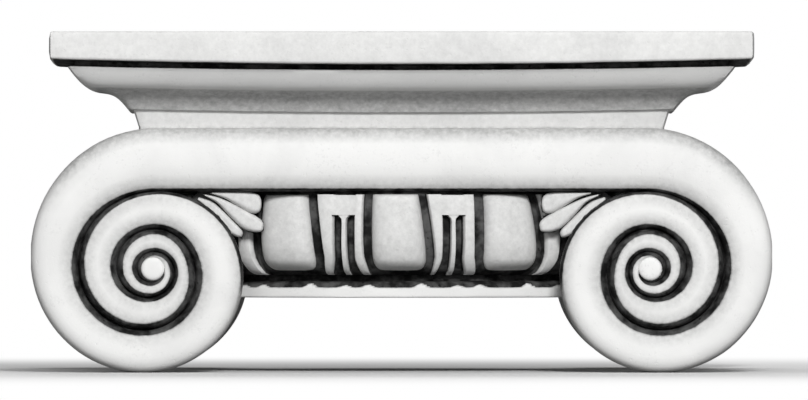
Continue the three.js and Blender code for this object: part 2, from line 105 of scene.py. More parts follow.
def lengths_field(name, description, *sizes):
    """A row of lengths."""
    return bpy.props.FloatVectorProperty(name=name, description=description, size=len(sizes),
                                         default=[size * MM for size in sizes], unit="LENGTH")


def share_field(name, description, value, low, high):
    """A share, as a slider between two limits."""
    return bpy.props.FloatProperty(name=name, description=description, default=value, min=low, max=high,
                                   subtype="FACTOR")


def color_field(name, description, value):
    """A colour."""
    return bpy.props.FloatVectorProperty(name=name, description=description, default=value, size=3,
                                         subtype="COLOR")


class ScrollSizes(bpy.types.PropertyGroup):
    """The scrolled faces and the bolsters behind them"""

    eye_spacing: length_field("Eye spacing", "Distance between the centres of the two eyes", 402)
    seam_radii: lengths_field(
        "Seam radii", "Radius of the seam at each quarter turn, from the top of the rim",
        114, 98.6, 83.7, 72.8, 62.5, 60.2, 48.5, 34.1, 32.1, 29.1, 23, 17.1, 13.7, 12.8, 11, 9.5)
    seam_depths: lengths_field(
        "Seam depths", "Depth of the seam below the crown, from the rim to the eye", 15, 14.5, 11.5, 7, 2.4)
    groove_widths: lengths_field(
        "Groove widths", "Width of the dark groove at each quarter turn, from the crease",
        5.2, 12.6, 11.6, 13.6, 9.6, 12, 7.6, 7.2, 7, 8.6, 5.6, 0.4)
    groove_bias: share_field(
        "Groove bias", "Share of the groove that slopes down from the outer band", 0.5, 0.3, 0.8)
    crown_setback: length_field("Crown setback", "How far the faces lie behind the front of the eggs", 3)
    rim_thickness: length_field("Rim thickness", "Thickness of the volutes at their rim", 26)
    eye_rise: length_field("Eye rise", "How far the eye stands in front of the crown", 0.5)
    waist: share_field(
        "Bolster waist", "Size of the bolster at its belt, as a share of its end", 0.68, 0.4, 1)
    belt_width: length_field("Belt width", "Width of the belt round the bolster", 44)
    belt_relief: share_field(
        "Belt relief", "How much larger the bolster is at its belt, as a share of its end", 0.045, 0, 0.2)


class EchinusSizes(bpy.types.PropertyGroup):
    """The neck band and the egg-and-dart band above it"""

    shaft_radius: length_field("Shaft radius", "Radius of the bed that the shaft meets", 204)
    neck_height: length_field("Neck band height", "Height of the plain neck band", 13.5)
    recess_depth: length_field("Recess depth", "Depth of the recess over the neck band", 12)
    recess_height: length_field("Recess height", "Height of the recess over the neck band", 5)
    height: length_field("Echinus height", "Height of the egg-and-dart band", 67.5)
    belly: length_field("Belly", "How far the eggs stand out from the shaft", 28)
    egg_count: bpy.props.IntProperty(
        name="Egg count", description="Eggs that a full ring would have", default=16, min=8, max=40)
    egg_relief: length_field("Egg relief", "How far the eggs stand out from their ground", 12)
    egg_half_width: length_field("Egg half width", "Half the width of an egg where it is widest", 23.3)
    egg_top_half_width: length_field("Egg top half width", "Half the width of an egg at its top", 20)
    side_shift: length_field("Side egg shift", "How far the side eggs stand out from their even spacing", 6.5)
    side_gap: length_field("Side shell gap", "Gap between a side egg and the shell on its inner side", 9)
    side_widening: bpy.props.FloatProperty(
        name="Side egg widening", description="Width of the side eggs as a share of the middle one's",
        default=1.05, min=0.9, max=1.2)
    egg_lean: length_field("Egg lean", "How far the egg tops lean to the left of their feet", 4.6)
    turn: bpy.props.FloatProperty(
        name="Turn", description="Turn of the carved band about the axis", default=math.radians(-0.6),
        subtype="ANGLE", unit="ROTATION")
    shell_gap: length_field("Shell gap", "Width of the groove between egg and shell", 6)
    slot_width: length_field("Slot width", "Width of the slot between dart and shell", 5.6)
    slot_top: length_field("Slot top", "Height of the slot tops above the foot of the band", 48.5)
    dart_width: length_field("Dart width", "Width of a dart", 5)


class AbacusSizes(bpy.types.PropertyGroup):
    """The moulded square slab"""

    fillet_setback: length_field("Fillet setback", "How far the fillet lies behind the scrolled face", 16.3)
    fillet_height: length_field("Fillet height", "Height of the fillet", 12.6)
    cyma_height: length_field("Cyma height", "Height of the double-curved moulding", 32.9)
    cove_height: length_field("Cove height", "Height of the dark cove under the slab", 5.6)
    cove_depth: length_field("Cove depth", "How far the cove goes in behind the top of the cyma", 5)
    corner_lift: length_field(
        "Corner lift", "How much higher the mouldings are at the corners than at mid side", 4.1)
    wear: length_field("Edge wear", "Depth of the worn places on the slab's edges", 1.1)


class FinishSettings(bpy.types.PropertyGroup):
    """The colours and grain of the stone"""

    stone: color_field("Stone", "Colour of the cast stone", STONE_COLOR)
    shade: color_field("Shade", "Colour of the greyer clouds in the stone", (0.7, 0.7, 0.695))
    # The patina colour also paints the shade in hollows, creases and recesses.
    patina: color_field("Patina", "Colour of the patina in the hollows", (0.01, 0.01, 0.01))
    grain: length_field("Grain", "Size of the stone's grain", 1.6)
    unevenness: length_field("Unevenness", "Height of the hand-made unevenness of the surfaces", 0.32)


class StageSettings(bpy.types.PropertyGroup):
    """The floor, the lights and the camera"""

    frame_width: length_field("Frame width", "Width that the picture takes in at the scrolled face", 652.5)
    lens: bpy.props.FloatProperty(
        name="Lens", description="Focal length of the camera", default=780, min=50, max=5000)
    camera_side: length_field("Camera side", "Camera's distance to the right of the middle", 2)
    camera_height: length_field("Camera height", "Camera's height above the floor", 139.3)
    key_power: bpy.props.FloatProperty(
        name="Key light", description="Power of the key light in watts", default=204)
    ambient: bpy.props.FloatProperty(
        name="Ambient light", description="Strength of the light from all round", default=0.2)
    backdrop: bpy.props.FloatProperty(
        name="Backdrop", description="Brightness of the plain surroundings", default=1.0)
    bounce: share_field("Bounce", "Share of the light that the floor throws back up", 0.2, 0, 1)
    floor_radius: bpy.props.FloatProperty(
        name="Floor radius", description="Radius of the floor", default=2.4, unit="LENGTH")


GROUPS = {
    "scrolls": ScrollSizes,
    "echinus": EchinusSizes,
    "abacus": AbacusSizes,
    "finish": FinishSettings,
    "stage": StageSettings,
}


def sizes(group):
    """One group of settings of the scene."""
    return getattr(bpy.context.scene, PREFIX + group)


# Curves and meshes

def smooth(values, position):
    """Catmull-Rom curve through evenly spaced values, each end held."""
    values = np.asarray(values, float)
    last = len(values) - 1
    at = np.clip(position, 0, last)
    i = np.minimum(np.floor(at).astype(int), last - 1)
    f = (at - i).reshape(np.shape(at) + (1,) * (values.ndim - 1))
    before = values[np.maximum(i - 1, 0)]
    after = values[np.minimum(i + 2, last)]
    slope_in = (values[i + 1] - before) / 2
    slope_out = (after - values[i]) / 2
    change = values[i + 1] - values[i]
    bend = 3 * change - 2 * slope_in - slope_out
    return values[i] + f * (slope_in + f * (bend + f * (slope_in + slope_out - 2 * change)))


def mix(low, high, share):
    """Straight blend from low at share 0 to high at share 1."""
    return low + (high - low) * share


def step(low, high, value):
    """S-shaped rise from 0 at low to 1 at high."""
    share = np.clip((value - low) / (high - low), 0, 1)
    return share * share * (3 - 2 * share)


def shoulder(share, power):
    """Rounded edge: height of a superellipse, 0 at share 0 and 1 from share 1 on."""
    inward = 1 - np.clip(share, 0, 1)
    return (1 - inward ** power) ** (1 / power)


def grid_quads(rows, columns, start=0, ring=False):
    """Quads over a grid of points in row order; a ring joins its last column to its first."""
    i, j = np.meshgrid(np.arange(rows - 1), np.arange(columns if ring else columns - 1), indexing="ij")
    p = i * columns + j
    q = i * columns + (j + 1) % columns
    return (start + np.stack([p, q, q + columns, p + columns], -1)).reshape(-1, 4)


def add_body(name, points, faces, patina):
    """A closed body: equal points fused, faces turned outwards, patina and painted shade kept as a point
    attribute.
    """
    mesh = bpy.data.meshes.new(name)
    mesh.from_pydata(points.reshape(-1, 3).tolist(), [], [list(face) for face in faces])
    layer = mesh.attributes.new(PATINA_AND_SHADE, "FLOAT", "POINT")
    layer.data.foreach_set("value", np.broadcast_to(patina, points.shape[:-1]).astype(np.float32).ravel() + 1)
    form = bmesh.new()
    form.from_mesh(mesh)
    bmesh.ops.remove_doubles(form, verts=form.verts, dist=1e-6)
    bmesh.ops.dissolve_degenerate(form, edges=form.edges, dist=1e-7)
    bmesh.ops.recalc_face_normals(form, faces=form.faces)
    open_edges = [edge for edge in form.edges if len(edge.link_faces) != 2]
    if open_edges:
        places = [tuple(round(c, 5) for c in edge.verts[0].co) for edge in open_edges[:8]]
        raise RuntimeError(f"{name} has {len(open_edges)} edges without two faces, first at {places}")
    form.to_mesh(mesh)
    form.free()
    body = bpy.data.objects.new(name, mesh)
    parts = bpy.data.collections.get(PARTS)
    if parts is None:
        parts = bpy.data.collections.new(PARTS)
        bpy.context.scene.collection.children.link(parts)
    parts.objects.link(body)
    return body


def add_block(name, front, back, patina, turned=1):
    """A body between a front grid and a back grid of points, walled round their edges; turned is -1 for the
    back face of the capital."""
    rows, columns = front.shape[:2]
    behind = rows * columns
    lap = np.concatenate([
        np.arange(columns - 1),
        np.arange(rows - 1) * columns + columns - 1,
        behind - 1 - np.arange(columns - 1),
        (rows - 1 - np.arange(rows - 1)) * columns,
    ])
    following = np.roll(lap, -1)
    walls = np.stack([lap, behind + lap, behind + following, following], -1)
    faces = np.concatenate([grid_quads(rows, columns), grid_quads(rows, columns, behind)[:, ::-1], walls])
    stain_and_shade = np.stack([np.broadcast_to(patina, (rows, columns)), np.ones((rows, columns))])
    return add_body(name, np.stack([front, back]) * (turned, turned, 1), faces, stain_and_shade)


def add_rings(name, points, patina):
    """A body of closed rings of points, with a flat face on its first and on its last ring."""
    rows, columns = points.shape[:2]
    end = np.arange(columns)
    faces = grid_quads(rows, columns, ring=True).tolist()
    faces += [end.tolist(), (end + (rows - 1) * columns)[::-1].tolist()]
    return add_body(name, points, faces, patina)


def around(angle, radius, height):
    """Point at an angle from the middle of the front, a radius from the axis and a height."""
    angle, radius, height = np.broadcast_arrays(angle, radius, height)
    return np.stack([radius * np.sin(angle), -radius * np.cos(angle), height], -1)


def full_circle(steps):
    """Evenly spaced angles once round."""
    return np.arange(steps) / steps * 2 * math.pi


def spiral(side, turn, radius):
    """Point of a volute: side times eye distance plus radius sin, radius cos, from the top outwards."""
    eye_x = sizes("scrolls").eye_spacing / 2
    angle = 2 * math.pi * turn
    return side * (eye_x + radius * np.sin(angle)), radius * np.cos(angle)


def seam_radius(turn):
    """Radius of the seam; turn -1 is the top of the outer rim, each whole turn ends one seam further in."""
    return smooth(sizes("scrolls").seam_radii, (turn + 1) * QUARTERS)


def seam_depth(turn):
    """Depth of the seam below the crown, spread evenly from the rim to the eye."""
    scrolls = sizes("scrolls")
    return smooth(scrolls.seam_depths, (turn + 1) / (last_turn() + 1) * (len(scrolls.seam_depths) - 1))


def groove_width(turn):
    """Width of the dark groove along the seam, from the crease to the eye."""
    return smooth(sizes("scrolls").groove_widths, turn * QUARTERS)


def last_turn():
    """Turn at which the seam meets the eye."""
    return (len(sizes("scrolls").seam_radii) - 1) / QUARTERS - 1


def levels():
    """Heights and radii that several pieces share, worked out from the sizes and the bed of the frame."""
    scrolls = sizes("scrolls")
    echinus = sizes("echinus")
    bed = MOUNT_HEIGHT["shaft_bed"]
    foot = bed + echinus.neck_height + echinus.recess_height
    crease = foot + echinus.height
    eye = crease - scrolls.seam_radii[QUARTERS]
    belly = echinus.shaft_radius + echinus.belly
    return {
        "bed": bed, "foot": foot, "crease": crease, "eye": eye, "belly": belly,
        "scroll_top": eye + scrolls.seam_radii[0],
        "face": belly - scrolls.crown_setback,
        "top": MOUNT_HEIGHT["abacus_top"],
    }


# Scrolls

STEPS_PER_TURN = 96
CANALIS_STEPS = 36
RIM_SHOULDER = 0.34
INNER_SHOULDER = 0.56
BAND_POWER = 2.3
THINNEST = 1e-6 * MM
# Painted shade: darker under the fillet on the top of the rim and canalis, and over the bands' rounded edges
# beside the grooves, there with a little wiped patina.
TOP_SHADE = 0.5
BAND_EDGE_SHADE = 0.3
BAND_EDGE_SHADE_REACH = 12 * MM
STEEPEST = 1.25
EDGES_SHARE = 0.92
INNER_BAND_SHARE = 0.75
SLOPE_REACH = 1.3
BAND_EDGE_SHADE_SHARE = 0.42
EYE_FADE = 0.1
EYE_CROWN = 0.6
GROOVE_DARK_FADE = (0.5, 1.3)
RIM_TURNS = (0.02, -0.08)
UNDARKENED_RIM_TURNS = (-0.22, -0.4)
UNDER_FILLET_TURNS = (-0.8, -0.9)
UNDER_FILLET_FADE = (16 * MM, 1 * MM)
WALL_STATIONS = (0, 0.3, 0.55, 0.8, 1, 1.25, 1.6)
SLOPE_STATIONS = (1.9, 1.5, 1.25, 1, 0.8, 0.6, 0.4, 0.2, 0)
CROWN_STATIONS = (0.2, 0.4, 0.6, 0.8)
EYE_RINGS = np.array([1, 0.97, 0.9, 0.78, 0.6, 0.35])
EYE_ROUND = 0.35


def band_section(turn):
    """Across one band, for an array of turns: distance from its outer seam, depth, and patina with painted
    shade.
    The height over the seams is the product of two rounded shoulders; the dark groove, patina with painted
    shade, reaches its share of the groove width, painted shade with a little wiped patina fades out beyond it
    over the band's rounded edges, and painted shade darkens the top of the rim and canalis under the fillet."""
    scrolls = sizes("scrolls")
    turn = turn[:, None]
    width = np.maximum(seam_radius(turn) - seam_radius(turn + 1), THINNEST)
    on_rim = step(*RIM_TURNS, turn)
    wall = (1 - scrolls.groove_bias) * groove_width(turn) + SOFTEN
    slope = scrolls.groove_bias * groove_width(turn + 1) + SOFTEN
    fit = np.minimum(1, EDGES_SHARE * width / (WALL_STATIONS[-1] * wall + SLOPE_STATIONS[0] * slope))
    near = np.array(WALL_STATIONS) * wall * fit
    far = width - np.array(SLOPE_STATIONS) * slope * fit
    middle = mix(near[:, -1:], far[:, :1], np.array(CROWN_STATIONS))
    along = np.concatenate([near, middle, far], 1)
    outer_reach = mix(STEEPEST * wall, np.maximum(RIM_SHOULDER * width, STEEPEST * wall), on_rim)
    inner_share = INNER_SHOULDER * mix(INNER_BAND_SHARE, 1, on_rim)
    inner_reach = np.maximum(inner_share * width, SLOPE_REACH * slope)
    outer = shoulder(along / outer_reach, BAND_POWER)
    inner = shoulder((width - along) / inner_reach, BAND_POWER)
    floor = mix(seam_depth(turn), seam_depth(turn + 1), along / width)
    rise = np.minimum(floor, STEEPEST * width) * outer * inner
    off_rim = 1 - step(*UNDARKENED_RIM_TURNS, turn)
    off_eye = 1 - step(last_turn() - EYE_FADE, last_turn(), turn + 1)
    # Patina and painted shade in the grooves, painted shade under the fillet, and painted shade with a little
    # wiped patina over the bands' rounded edges.
    outer_patina_and_shade = (1 - step(*GROOVE_DARK_FADE, along / wall)) * off_rim
    inner_patina_and_shade = (1 - step(*GROOVE_DARK_FADE, (width - along) / slope)) * off_eye
    under_fillet_shade = TOP_SHADE * step(*UNDER_FILLET_FADE, along) * step(*UNDER_FILLET_TURNS, turn)
    reach = np.minimum(BAND_EDGE_SHADE_REACH, BAND_EDGE_SHADE_SHARE * width)
    soft_patina_and_shade = BAND_EDGE_SHADE * np.maximum(step(reach, 0, along - wall) * off_rim,
                                   step(reach, 0, width - along - slope) * off_eye)
    return along, floor - rise, np.maximum.reduce([outer_patina_and_shade, inner_patina_and_shade, under_fillet_shade, soft_patina_and_shade])


def scroll_face(turned):
    """One scrolled face: the band section carried from one eye up its spiral, across as the canalis and down
    to the other eye, with a rim wall, a flat back and a domed eye in each volute."""
    scrolls = sizes("scrolls")
    at = levels()
    count = round((last_turn() + 1) * STEPS_PER_TURN)
    turns = np.arange(count + 1) / STEPS_PER_TURN - 1
    along, depth, stain_and_shade = band_section(turns)
    eye_x = scrolls.eye_spacing / 2

    def place(side):
        radius = seam_radius(turns)[:, None] - along
        x, z = spiral(side, turns[:, None], radius)
        return np.stack([x, depth - at["face"], at["eye"] + z], -1)

    left, right = place(-1)[::-1], place(1)
    share = np.linspace(0, 1, CANALIS_STEPS + 1)[1:-1, None]
    canalis = np.repeat(right[:1], CANALIS_STEPS - 1, 0)
    canalis[..., 0] = mix(-eye_x, eye_x, share)
    sections = np.concatenate([left, canalis, right])
    stains_and_shade = np.concatenate([stain_and_shade[::-1], np.repeat(stain_and_shade[:1], CANALIS_STEPS - 1, 0), stain_and_shade])
    rows, columns = sections.shape[:2]
    faces = [grid_quads(rows, columns)]
    points = [sections.reshape(-1, 3)]
    marks = [stains_and_shade.ravel()]

    # Rim wall: round the outer edge, then back along the crease
    first = count - STEPS_PER_TURN
    last = rows - 1 - first
    lap = np.concatenate([
        np.arange(first, last + 1) * columns,
        np.arange(last - STEPS_PER_TURN - 1, first + STEPS_PER_TURN, -1) * columns + columns - 1,
    ])
    back = sections.reshape(-1, 3)[lap].copy()
    back[:, 1] = scrolls.rim_thickness - at["face"]
    behind = rows * columns + np.arange(len(lap))
    faces.append(np.stack([lap, np.roll(lap, -1), np.roll(behind, -1), behind], -1))
    points.append(back)
    marks.append(np.zeros(len(lap)))
    start = rows * columns + len(lap)

    # Eyes: rings of a dome
    for side in (-1, 1):
        dome = EYE_RINGS[:, None]
        ring = np.arange(STEPS_PER_TURN)[None] / STEPS_PER_TURN
        x, z = spiral(side, ring, scrolls.seam_radii[-1] * dome)
        rise = shoulder((1 - dome) / EYE_ROUND, 2)
        crown = EYE_CROWN * scrolls.eye_rise * dome ** 2
        y = mix(scrolls.seam_depths[-1], crown - scrolls.eye_rise, rise) + 0 * ring
        points.append(np.stack([x, y - at["face"], at["eye"] + z], -1).reshape(-1, 3))
        marks.append(np.zeros(len(dome) * STEPS_PER_TURN))
        faces.append(grid_quads(len(dome), STEPS_PER_TURN, start, ring=True))
        start += len(dome) * STEPS_PER_TURN
        faces.append(np.arange(start - STEPS_PER_TURN, start)[None])
    quads = [face for block in faces for face in block.tolist()] + [behind.tolist()]
    points = np.concatenate(points) * (turned, turned, 1)
    return add_body("scroll", points, quads, np.concatenate(marks))


BOLSTER_STATIONS = 32
BOLSTER_STEPS = 96
BOLSTER_STEP = 3 * MM
BOLSTER_FLARE = 2.2
BOLSTER_ANCHOR = 190 * MM
BOLSTER_ROOT = 60 * MM
BELT_ROUND = 3 * MM
BEAD_PLACE = 3 * MM
BEAD_HALF_WIDTH = 1.9 * MM
BEAD_RELIEF = 0.45
BEAD_GROOVES = ((0.4 * MM, 0.9 * MM), (5.4 * MM, 1.1 * MM))
BEAD_SHADE = 0.75
BEAD_STATIONS = np.array([-3, -2, -1, -0.4, 0, 0.6, 1.4, 2.2, 3, 3.8, 4.6, 5.2]) * MM
BEAD_END = 7 * MM


def bolster(side):
    """One bolster: the rim outline scaled about a point under the abacus, smallest at the waist, with a
    rounded belt and a thin bead on each side of it."""
    scrolls = sizes("scrolls")
    at = levels()
    half = at["face"] - scrolls.rim_thickness + FLUSH
    belt = scrolls.belt_width / 2
    even = np.linspace(0, 1, BOLSTER_STATIONS)
    out = np.sort(np.concatenate([[0], belt + BEAD_STATIONS, mix(belt + BEAD_END, half, even)]))
    y = np.concatenate([-out[:0:-1], out])
    reach = np.abs(y)
    relief = scrolls.belt_relief * shoulder((belt - reach) / BELT_ROUND, 2)
    bead_share = (reach - belt - BEAD_PLACE) / BEAD_HALF_WIDTH
    bead = BEAD_RELIEF * scrolls.belt_relief * np.sqrt(np.clip(1 - bead_share ** 2, 0, 1))
    scale = (mix(scrolls.waist, 1, (reach / half) ** BOLSTER_FLARE) + relief + bead)[:, None]
    turns = np.arange(BOLSTER_STEPS + 1) / BOLSTER_STEPS - 1
    x, z = spiral(side, turns, seam_radius(turns) - BOLSTER_STEP)
    root_x = side * (BOLSTER_ANCHOR - BOLSTER_ROOT)
    x = np.concatenate([x, [root_x, root_x]])
    z = np.concatenate([at["eye"] + z, [at["crease"] + 2 * FLUSH, at["scroll_top"]]])
    anchor_x, anchor_z = side * BOLSTER_ANCHOR, at["scroll_top"] + 2 * FLUSH
    points = np.stack([anchor_x + scale * (x - anchor_x), y[:, None] + 0 * x,
                       anchor_z + scale * (z - anchor_z)], -1)
    # Painted shade with patina in the two grooves beside each bead.
    stain_and_shade = np.zeros(len(y))
    for start, fade in BEAD_GROOVES:
        stain_and_shade += BEAD_SHADE * np.exp(-((reach - belt - start) / fade) ** 2)
    return add_rings("bolster", points, stain_and_shade[:, None])


def cushion():
    """Block between the scrolls, let into both faces and into the abacus, darkened all over as painted shade.
    """
    at = levels()
    half = at["face"] - sizes("scrolls").rim_thickness + FLUSH
    heights = (at["crease"] + FLUSH / 2, at["scroll_top"] + 1.5 * FLUSH)
    front = np.array([[(-BOLSTER_ANCHOR, -half, z), (BOLSTER_ANCHOR, -half, z)] for z in heights])
    return add_block("cushion", front, front * (1, -1, 1), 1)


# Neck and echinus

ROUND_STEPS = 480
BED_EDGE = 1.5 * MM
NECK_ROWS = np.linspace(0.2, 0.95, 6)
# The eggs' shadow painted on the top of the neck band: groups round the ring, places in each group where
# light passes between eggs, shells and darts, how far the shadow reaches down, how far each such place lifts
# it, their width and the softness of the shadow's edge.
SHADOW_GROUPS = 14
SHADOW_GAPS = np.array([0.175, 0.5, 0.704])
SHADOW_DEPTH = 5.6 * MM
SHADOW_GAP_LIFTS = np.array([3.6, 2, 2.4]) * MM
SHADOW_GAP_WIDTH = 0.05
SHADOW_SOFTNESS = 0.9 * MM
NECK_ROUND = 6 * MM
BELLY_HEIGHT = 30 * MM
BELLY_UNDERCUT = 20 * MM
BELLY_TOP_SETBACK = 8 * MM
EGG_FOOT = 3.5 * MM
EGG_WIDEST = 11 * MM
EGG_TOP_GAP = 2.4 * MM
EGG_FOOT_SHARE = 0.72
EGG_TAPER = 1.5
EGG_SIDE_POWER = 3
EGG_ROUND_FOOT = 0.15
EGG_FOOT_POWER = 2.1
EGG_BROW = 0.62
EGG_BROW_SHARE = 0.06
EGG_FULLNESS = 0.45
SHELL_SETBACK = 2.2 * MM
SHELL_BEVEL = 2 * MM
SHELL_FOOT_TURN = 3 * MM
SHELL_FOOT_SPREAD = 5 * MM
OUTER_SHELL_EXTRA = 6.5 * MM
HEAD_SETBACK = 2.32 * MM
DART_SETBACK = 3 * MM
RIB_CURVE = np.array([0, 0.12, 0.3, 0.55, 0.8, 1])
SHELL_STRAIGHT = 18 * MM
SHELL_FOOT_POWER = 1.6
FOOT_SHADE_HEIGHT = 7 * MM
DART_BEVEL = 0.2
DART_FOOT_WIDTH = 1.1
DART_TOP_WIDTH = 0.86
FORK_SPREAD = 3.4 * MM
FORK_RUN = 3.5 * MM
FORK_HEIGHT = 5.5 * MM
LEAN_LEVEL = 0.35
# Painted shade on the carving, with patina in its grooves: all of it a little darker, and darker towards egg
# edges, rib bevels, shell and dart feet.
CARVING_SHADE = 0.27
EGG_EDGE_SHADE = (0.1, 0.42)
RIB_BEVEL_SHADE = (0.15, 0.5)
SHELL_FOOT_SHADE = 0.5
DART_FOOT_SHADE = 0.4


def belly_radius(height):
    """Radius of the echinus to the front of the eggs: a quarter ellipse below the belly and one above it."""
    echinus = sizes("echinus")
    radius = echinus.shaft_radius + echinus.belly
    below = height < BELLY_HEIGHT
    reach = np.where(below, BELLY_HEIGHT, echinus.height - BELLY_HEIGHT)
    share = np.minimum(1, np.abs(height - BELLY_HEIGHT) / reach)
    fall = np.where(below, BELLY_UNDERCUT, BELLY_TOP_SETBACK)
    return radius - fall * (1 - np.sqrt(1 - share ** 2))


def neck():
    """Neck band, recess and the ground behind the eggs, turned about the axis, with the eggs' shadow painted
    along the top of the band and the recess and ground darkened as painted shade with patina.
    """
    echinus = sizes("echinus")
    at = levels()
    radius = echinus.shaft_radius
    band_top = at["bed"] + echinus.neck_height
    recess = radius - echinus.recess_depth
    quarter = np.linspace(0, math.pi / 2, 9)
    edge = np.linspace(0, math.pi / 2, 4)
    ground = echinus.height * np.linspace(0, 1, 14)
    ground_radius = belly_radius(ground) - echinus.egg_relief
    top = at["crease"] + 2 * FLUSH
    profile = np.array([
        *zip(radius - BED_EDGE * (1 - np.sin(edge)), at["bed"] + BED_EDGE * (1 - np.cos(edge))),
        *zip(0 * NECK_ROWS + radius, mix(at["bed"] + BED_EDGE, band_top - NECK_ROUND, NECK_ROWS)),
        *zip(radius - NECK_ROUND * (1 - np.cos(quarter)), band_top - NECK_ROUND * (1 - np.sin(quarter))),
        (mix(radius - NECK_ROUND, recess, 0.3), band_top),
        (recess, band_top),
        (recess, at["foot"]),
        (mix(recess, ground_radius[0], 0.9), at["foot"]),
        *zip(ground_radius, at["foot"] + ground),
        (ground_radius[-1], top),
    ])
    angle = full_circle(ROUND_STEPS)
    # Painted shadow of the eggs along the top of the neck band, lifted where light passes between them; the
    # recess and the ground above are darkened in full as painted shade with patina.
    places = angle[:, None] * SHADOW_GROUPS / (2 * math.pi) - SHADOW_GAPS
    shadow_gap = np.exp(-((np.mod(places + 0.5, 1) - 0.5) / SHADOW_GAP_WIDTH) ** 2)
    shadow_edge = band_top - SHADOW_DEPTH + (SHADOW_GAP_LIFTS * shadow_gap).sum(1)
    stain_and_shade = step(-SHADOW_SOFTNESS, SHADOW_SOFTNESS, profile[:, 1:] - shadow_edge)
    return add_rings("neck", around(angle, profile[:, :1], profile[:, 1:]), stain_and_shade)


def egg_half_width(height):
    """Half the width of an egg: a quarter ellipse up to its widest height, then a slow taper to its top."""
    echinus = sizes("echinus")
    wide = EGG_FOOT + EGG_WIDEST
    top = echinus.height - EGG_TOP_GAP
    low = np.sqrt(np.clip(1 - ((wide - height) / EGG_WIDEST) ** 2, 0, 1))
    taper = np.clip((height - wide) / (top - wide), 0, 1) ** EGG_TAPER
    below = echinus.egg_half_width * mix(EGG_FOOT_SHARE, 1, low)
    above = mix(echinus.egg_half_width, echinus.egg_top_half_width, taper)
    return np.where(height < wide, below, above)


def pitch():
    """Angle from one egg to the next."""
    return 2 * math.pi / sizes("echinus").egg_count


def core(height):
    """Radius of the hidden backs of the carving, inside the ground."""
    return belly_radius(height) - 2 * sizes("echinus").egg_relief


def widening(number):
    """The eggs beside the middle one are a little wider."""
    return sizes("echinus").side_widening if number else 1


def band_angle(number, extra):
    """Angle of a place in pitches, moved outwards by an extra distance along the arc."""
    return number * pitch() + np.sign(number) * extra / levels()["belly"] + sizes("echinus").turn


def egg_angle(number):
    """Angle of an egg; the side ones stand a little further out."""
    return band_angle(number, sizes("echinus").side_shift)


def dart_angle(number):
    """Angle of a dart; the outermost stand beside wider shells."""
    return band_angle(number, sizes("echinus").side_shift + OUTER_SHELL_EXTRA if abs(number) > 1 else 0)


def lean(height):
    """Sideways shift of an egg at a height, none at a third of it."""
    echinus = sizes("echinus")
    return -echinus.egg_lean * (height / echinus.height - LEAN_LEVEL)


def egg(number, turned):
    """One egg: full-faced, round at its sides and foot, cut off under the canalis."""
    echinus = sizes("echinus")
    belly = levels()["belly"]
    row = np.concatenate([EGG_ROUND_FOOT * (1 - np.cos(np.linspace(0, math.pi / 2, 12))),
                          np.linspace(0.2, 0.9, 10), [0.94, 0.97, 0.99, 1]])[:, None]
    column = np.sin(np.linspace(-math.pi / 2, math.pi / 2, 29))[None]
    height = mix(EGG_FOOT, echinus.height - EGG_TOP_GAP, row)
    foot = shoulder(row / EGG_ROUND_FOOT, EGG_FOOT_POWER)
    brow = mix(EGG_BROW, 1, shoulder((1 - row) / EGG_BROW_SHARE, 2))
    relief = (1 - np.abs(column) ** EGG_SIDE_POWER) ** EGG_FULLNESS * foot * brow
    ground = belly_radius(height) - echinus.egg_relief - FLUSH
    arc = column * egg_half_width(height) * widening(number) + lean(height)
    where = egg_angle(number) + arc / belly
    level = levels()["foot"] + height
    front = around(where, ground + (echinus.egg_relief + FLUSH) * relief, level)
    back = around(where, core(height), level)
    # Painted shade with patina: darker towards the egg's edges and foot, and a little darker all over.
    stain_and_shade = np.maximum(1 - step(*EGG_EDGE_SHADE, relief), CARVING_SHADE)
    return add_block("egg", front, back, stain_and_shade, turned)


def rib(name, angle, heights, left, right, setback, bevel, turned, foot_shade=0.0):
    """A flat-topped rib on the echinus between two edges, each a distance along the arc at every height, with
    rounded bevels down to the ground."""
    at = levels()
    heights, left, right = (values[:, None] for values in np.broadcast_arrays(heights, left, right))
    drop = 1 - shoulder(RIB_CURVE, 2)
    near = left + bevel * RIB_CURVE
    far = right - bevel * RIB_CURVE[::-1]
    arc = np.concatenate([near, (near[:, -1:] + far[:, :1]) / 2, far], 1)
    falls = np.concatenate([drop, [0], drop[::-1]])
    crown = belly_radius(heights) - setback
    ground = belly_radius(heights) - sizes("echinus").egg_relief - FLUSH
    radius = mix(crown, ground, falls)
    where = angle + arc / at["belly"]
    # Painted shade with patina: darker down the bevels, a little darker all over, and darker near the foot.
    stain_and_shade = np.maximum(step(*RIB_BEVEL_SHADE, falls), CARVING_SHADE)
    stain_and_shade = np.maximum(stain_and_shade, foot_shade * step(FOOT_SHADE_HEIGHT, 0, heights))
    level = at["foot"] + heights
    return add_block(name, around(where, radius, level), around(where, core(heights), level), stain_and_shade, turned)


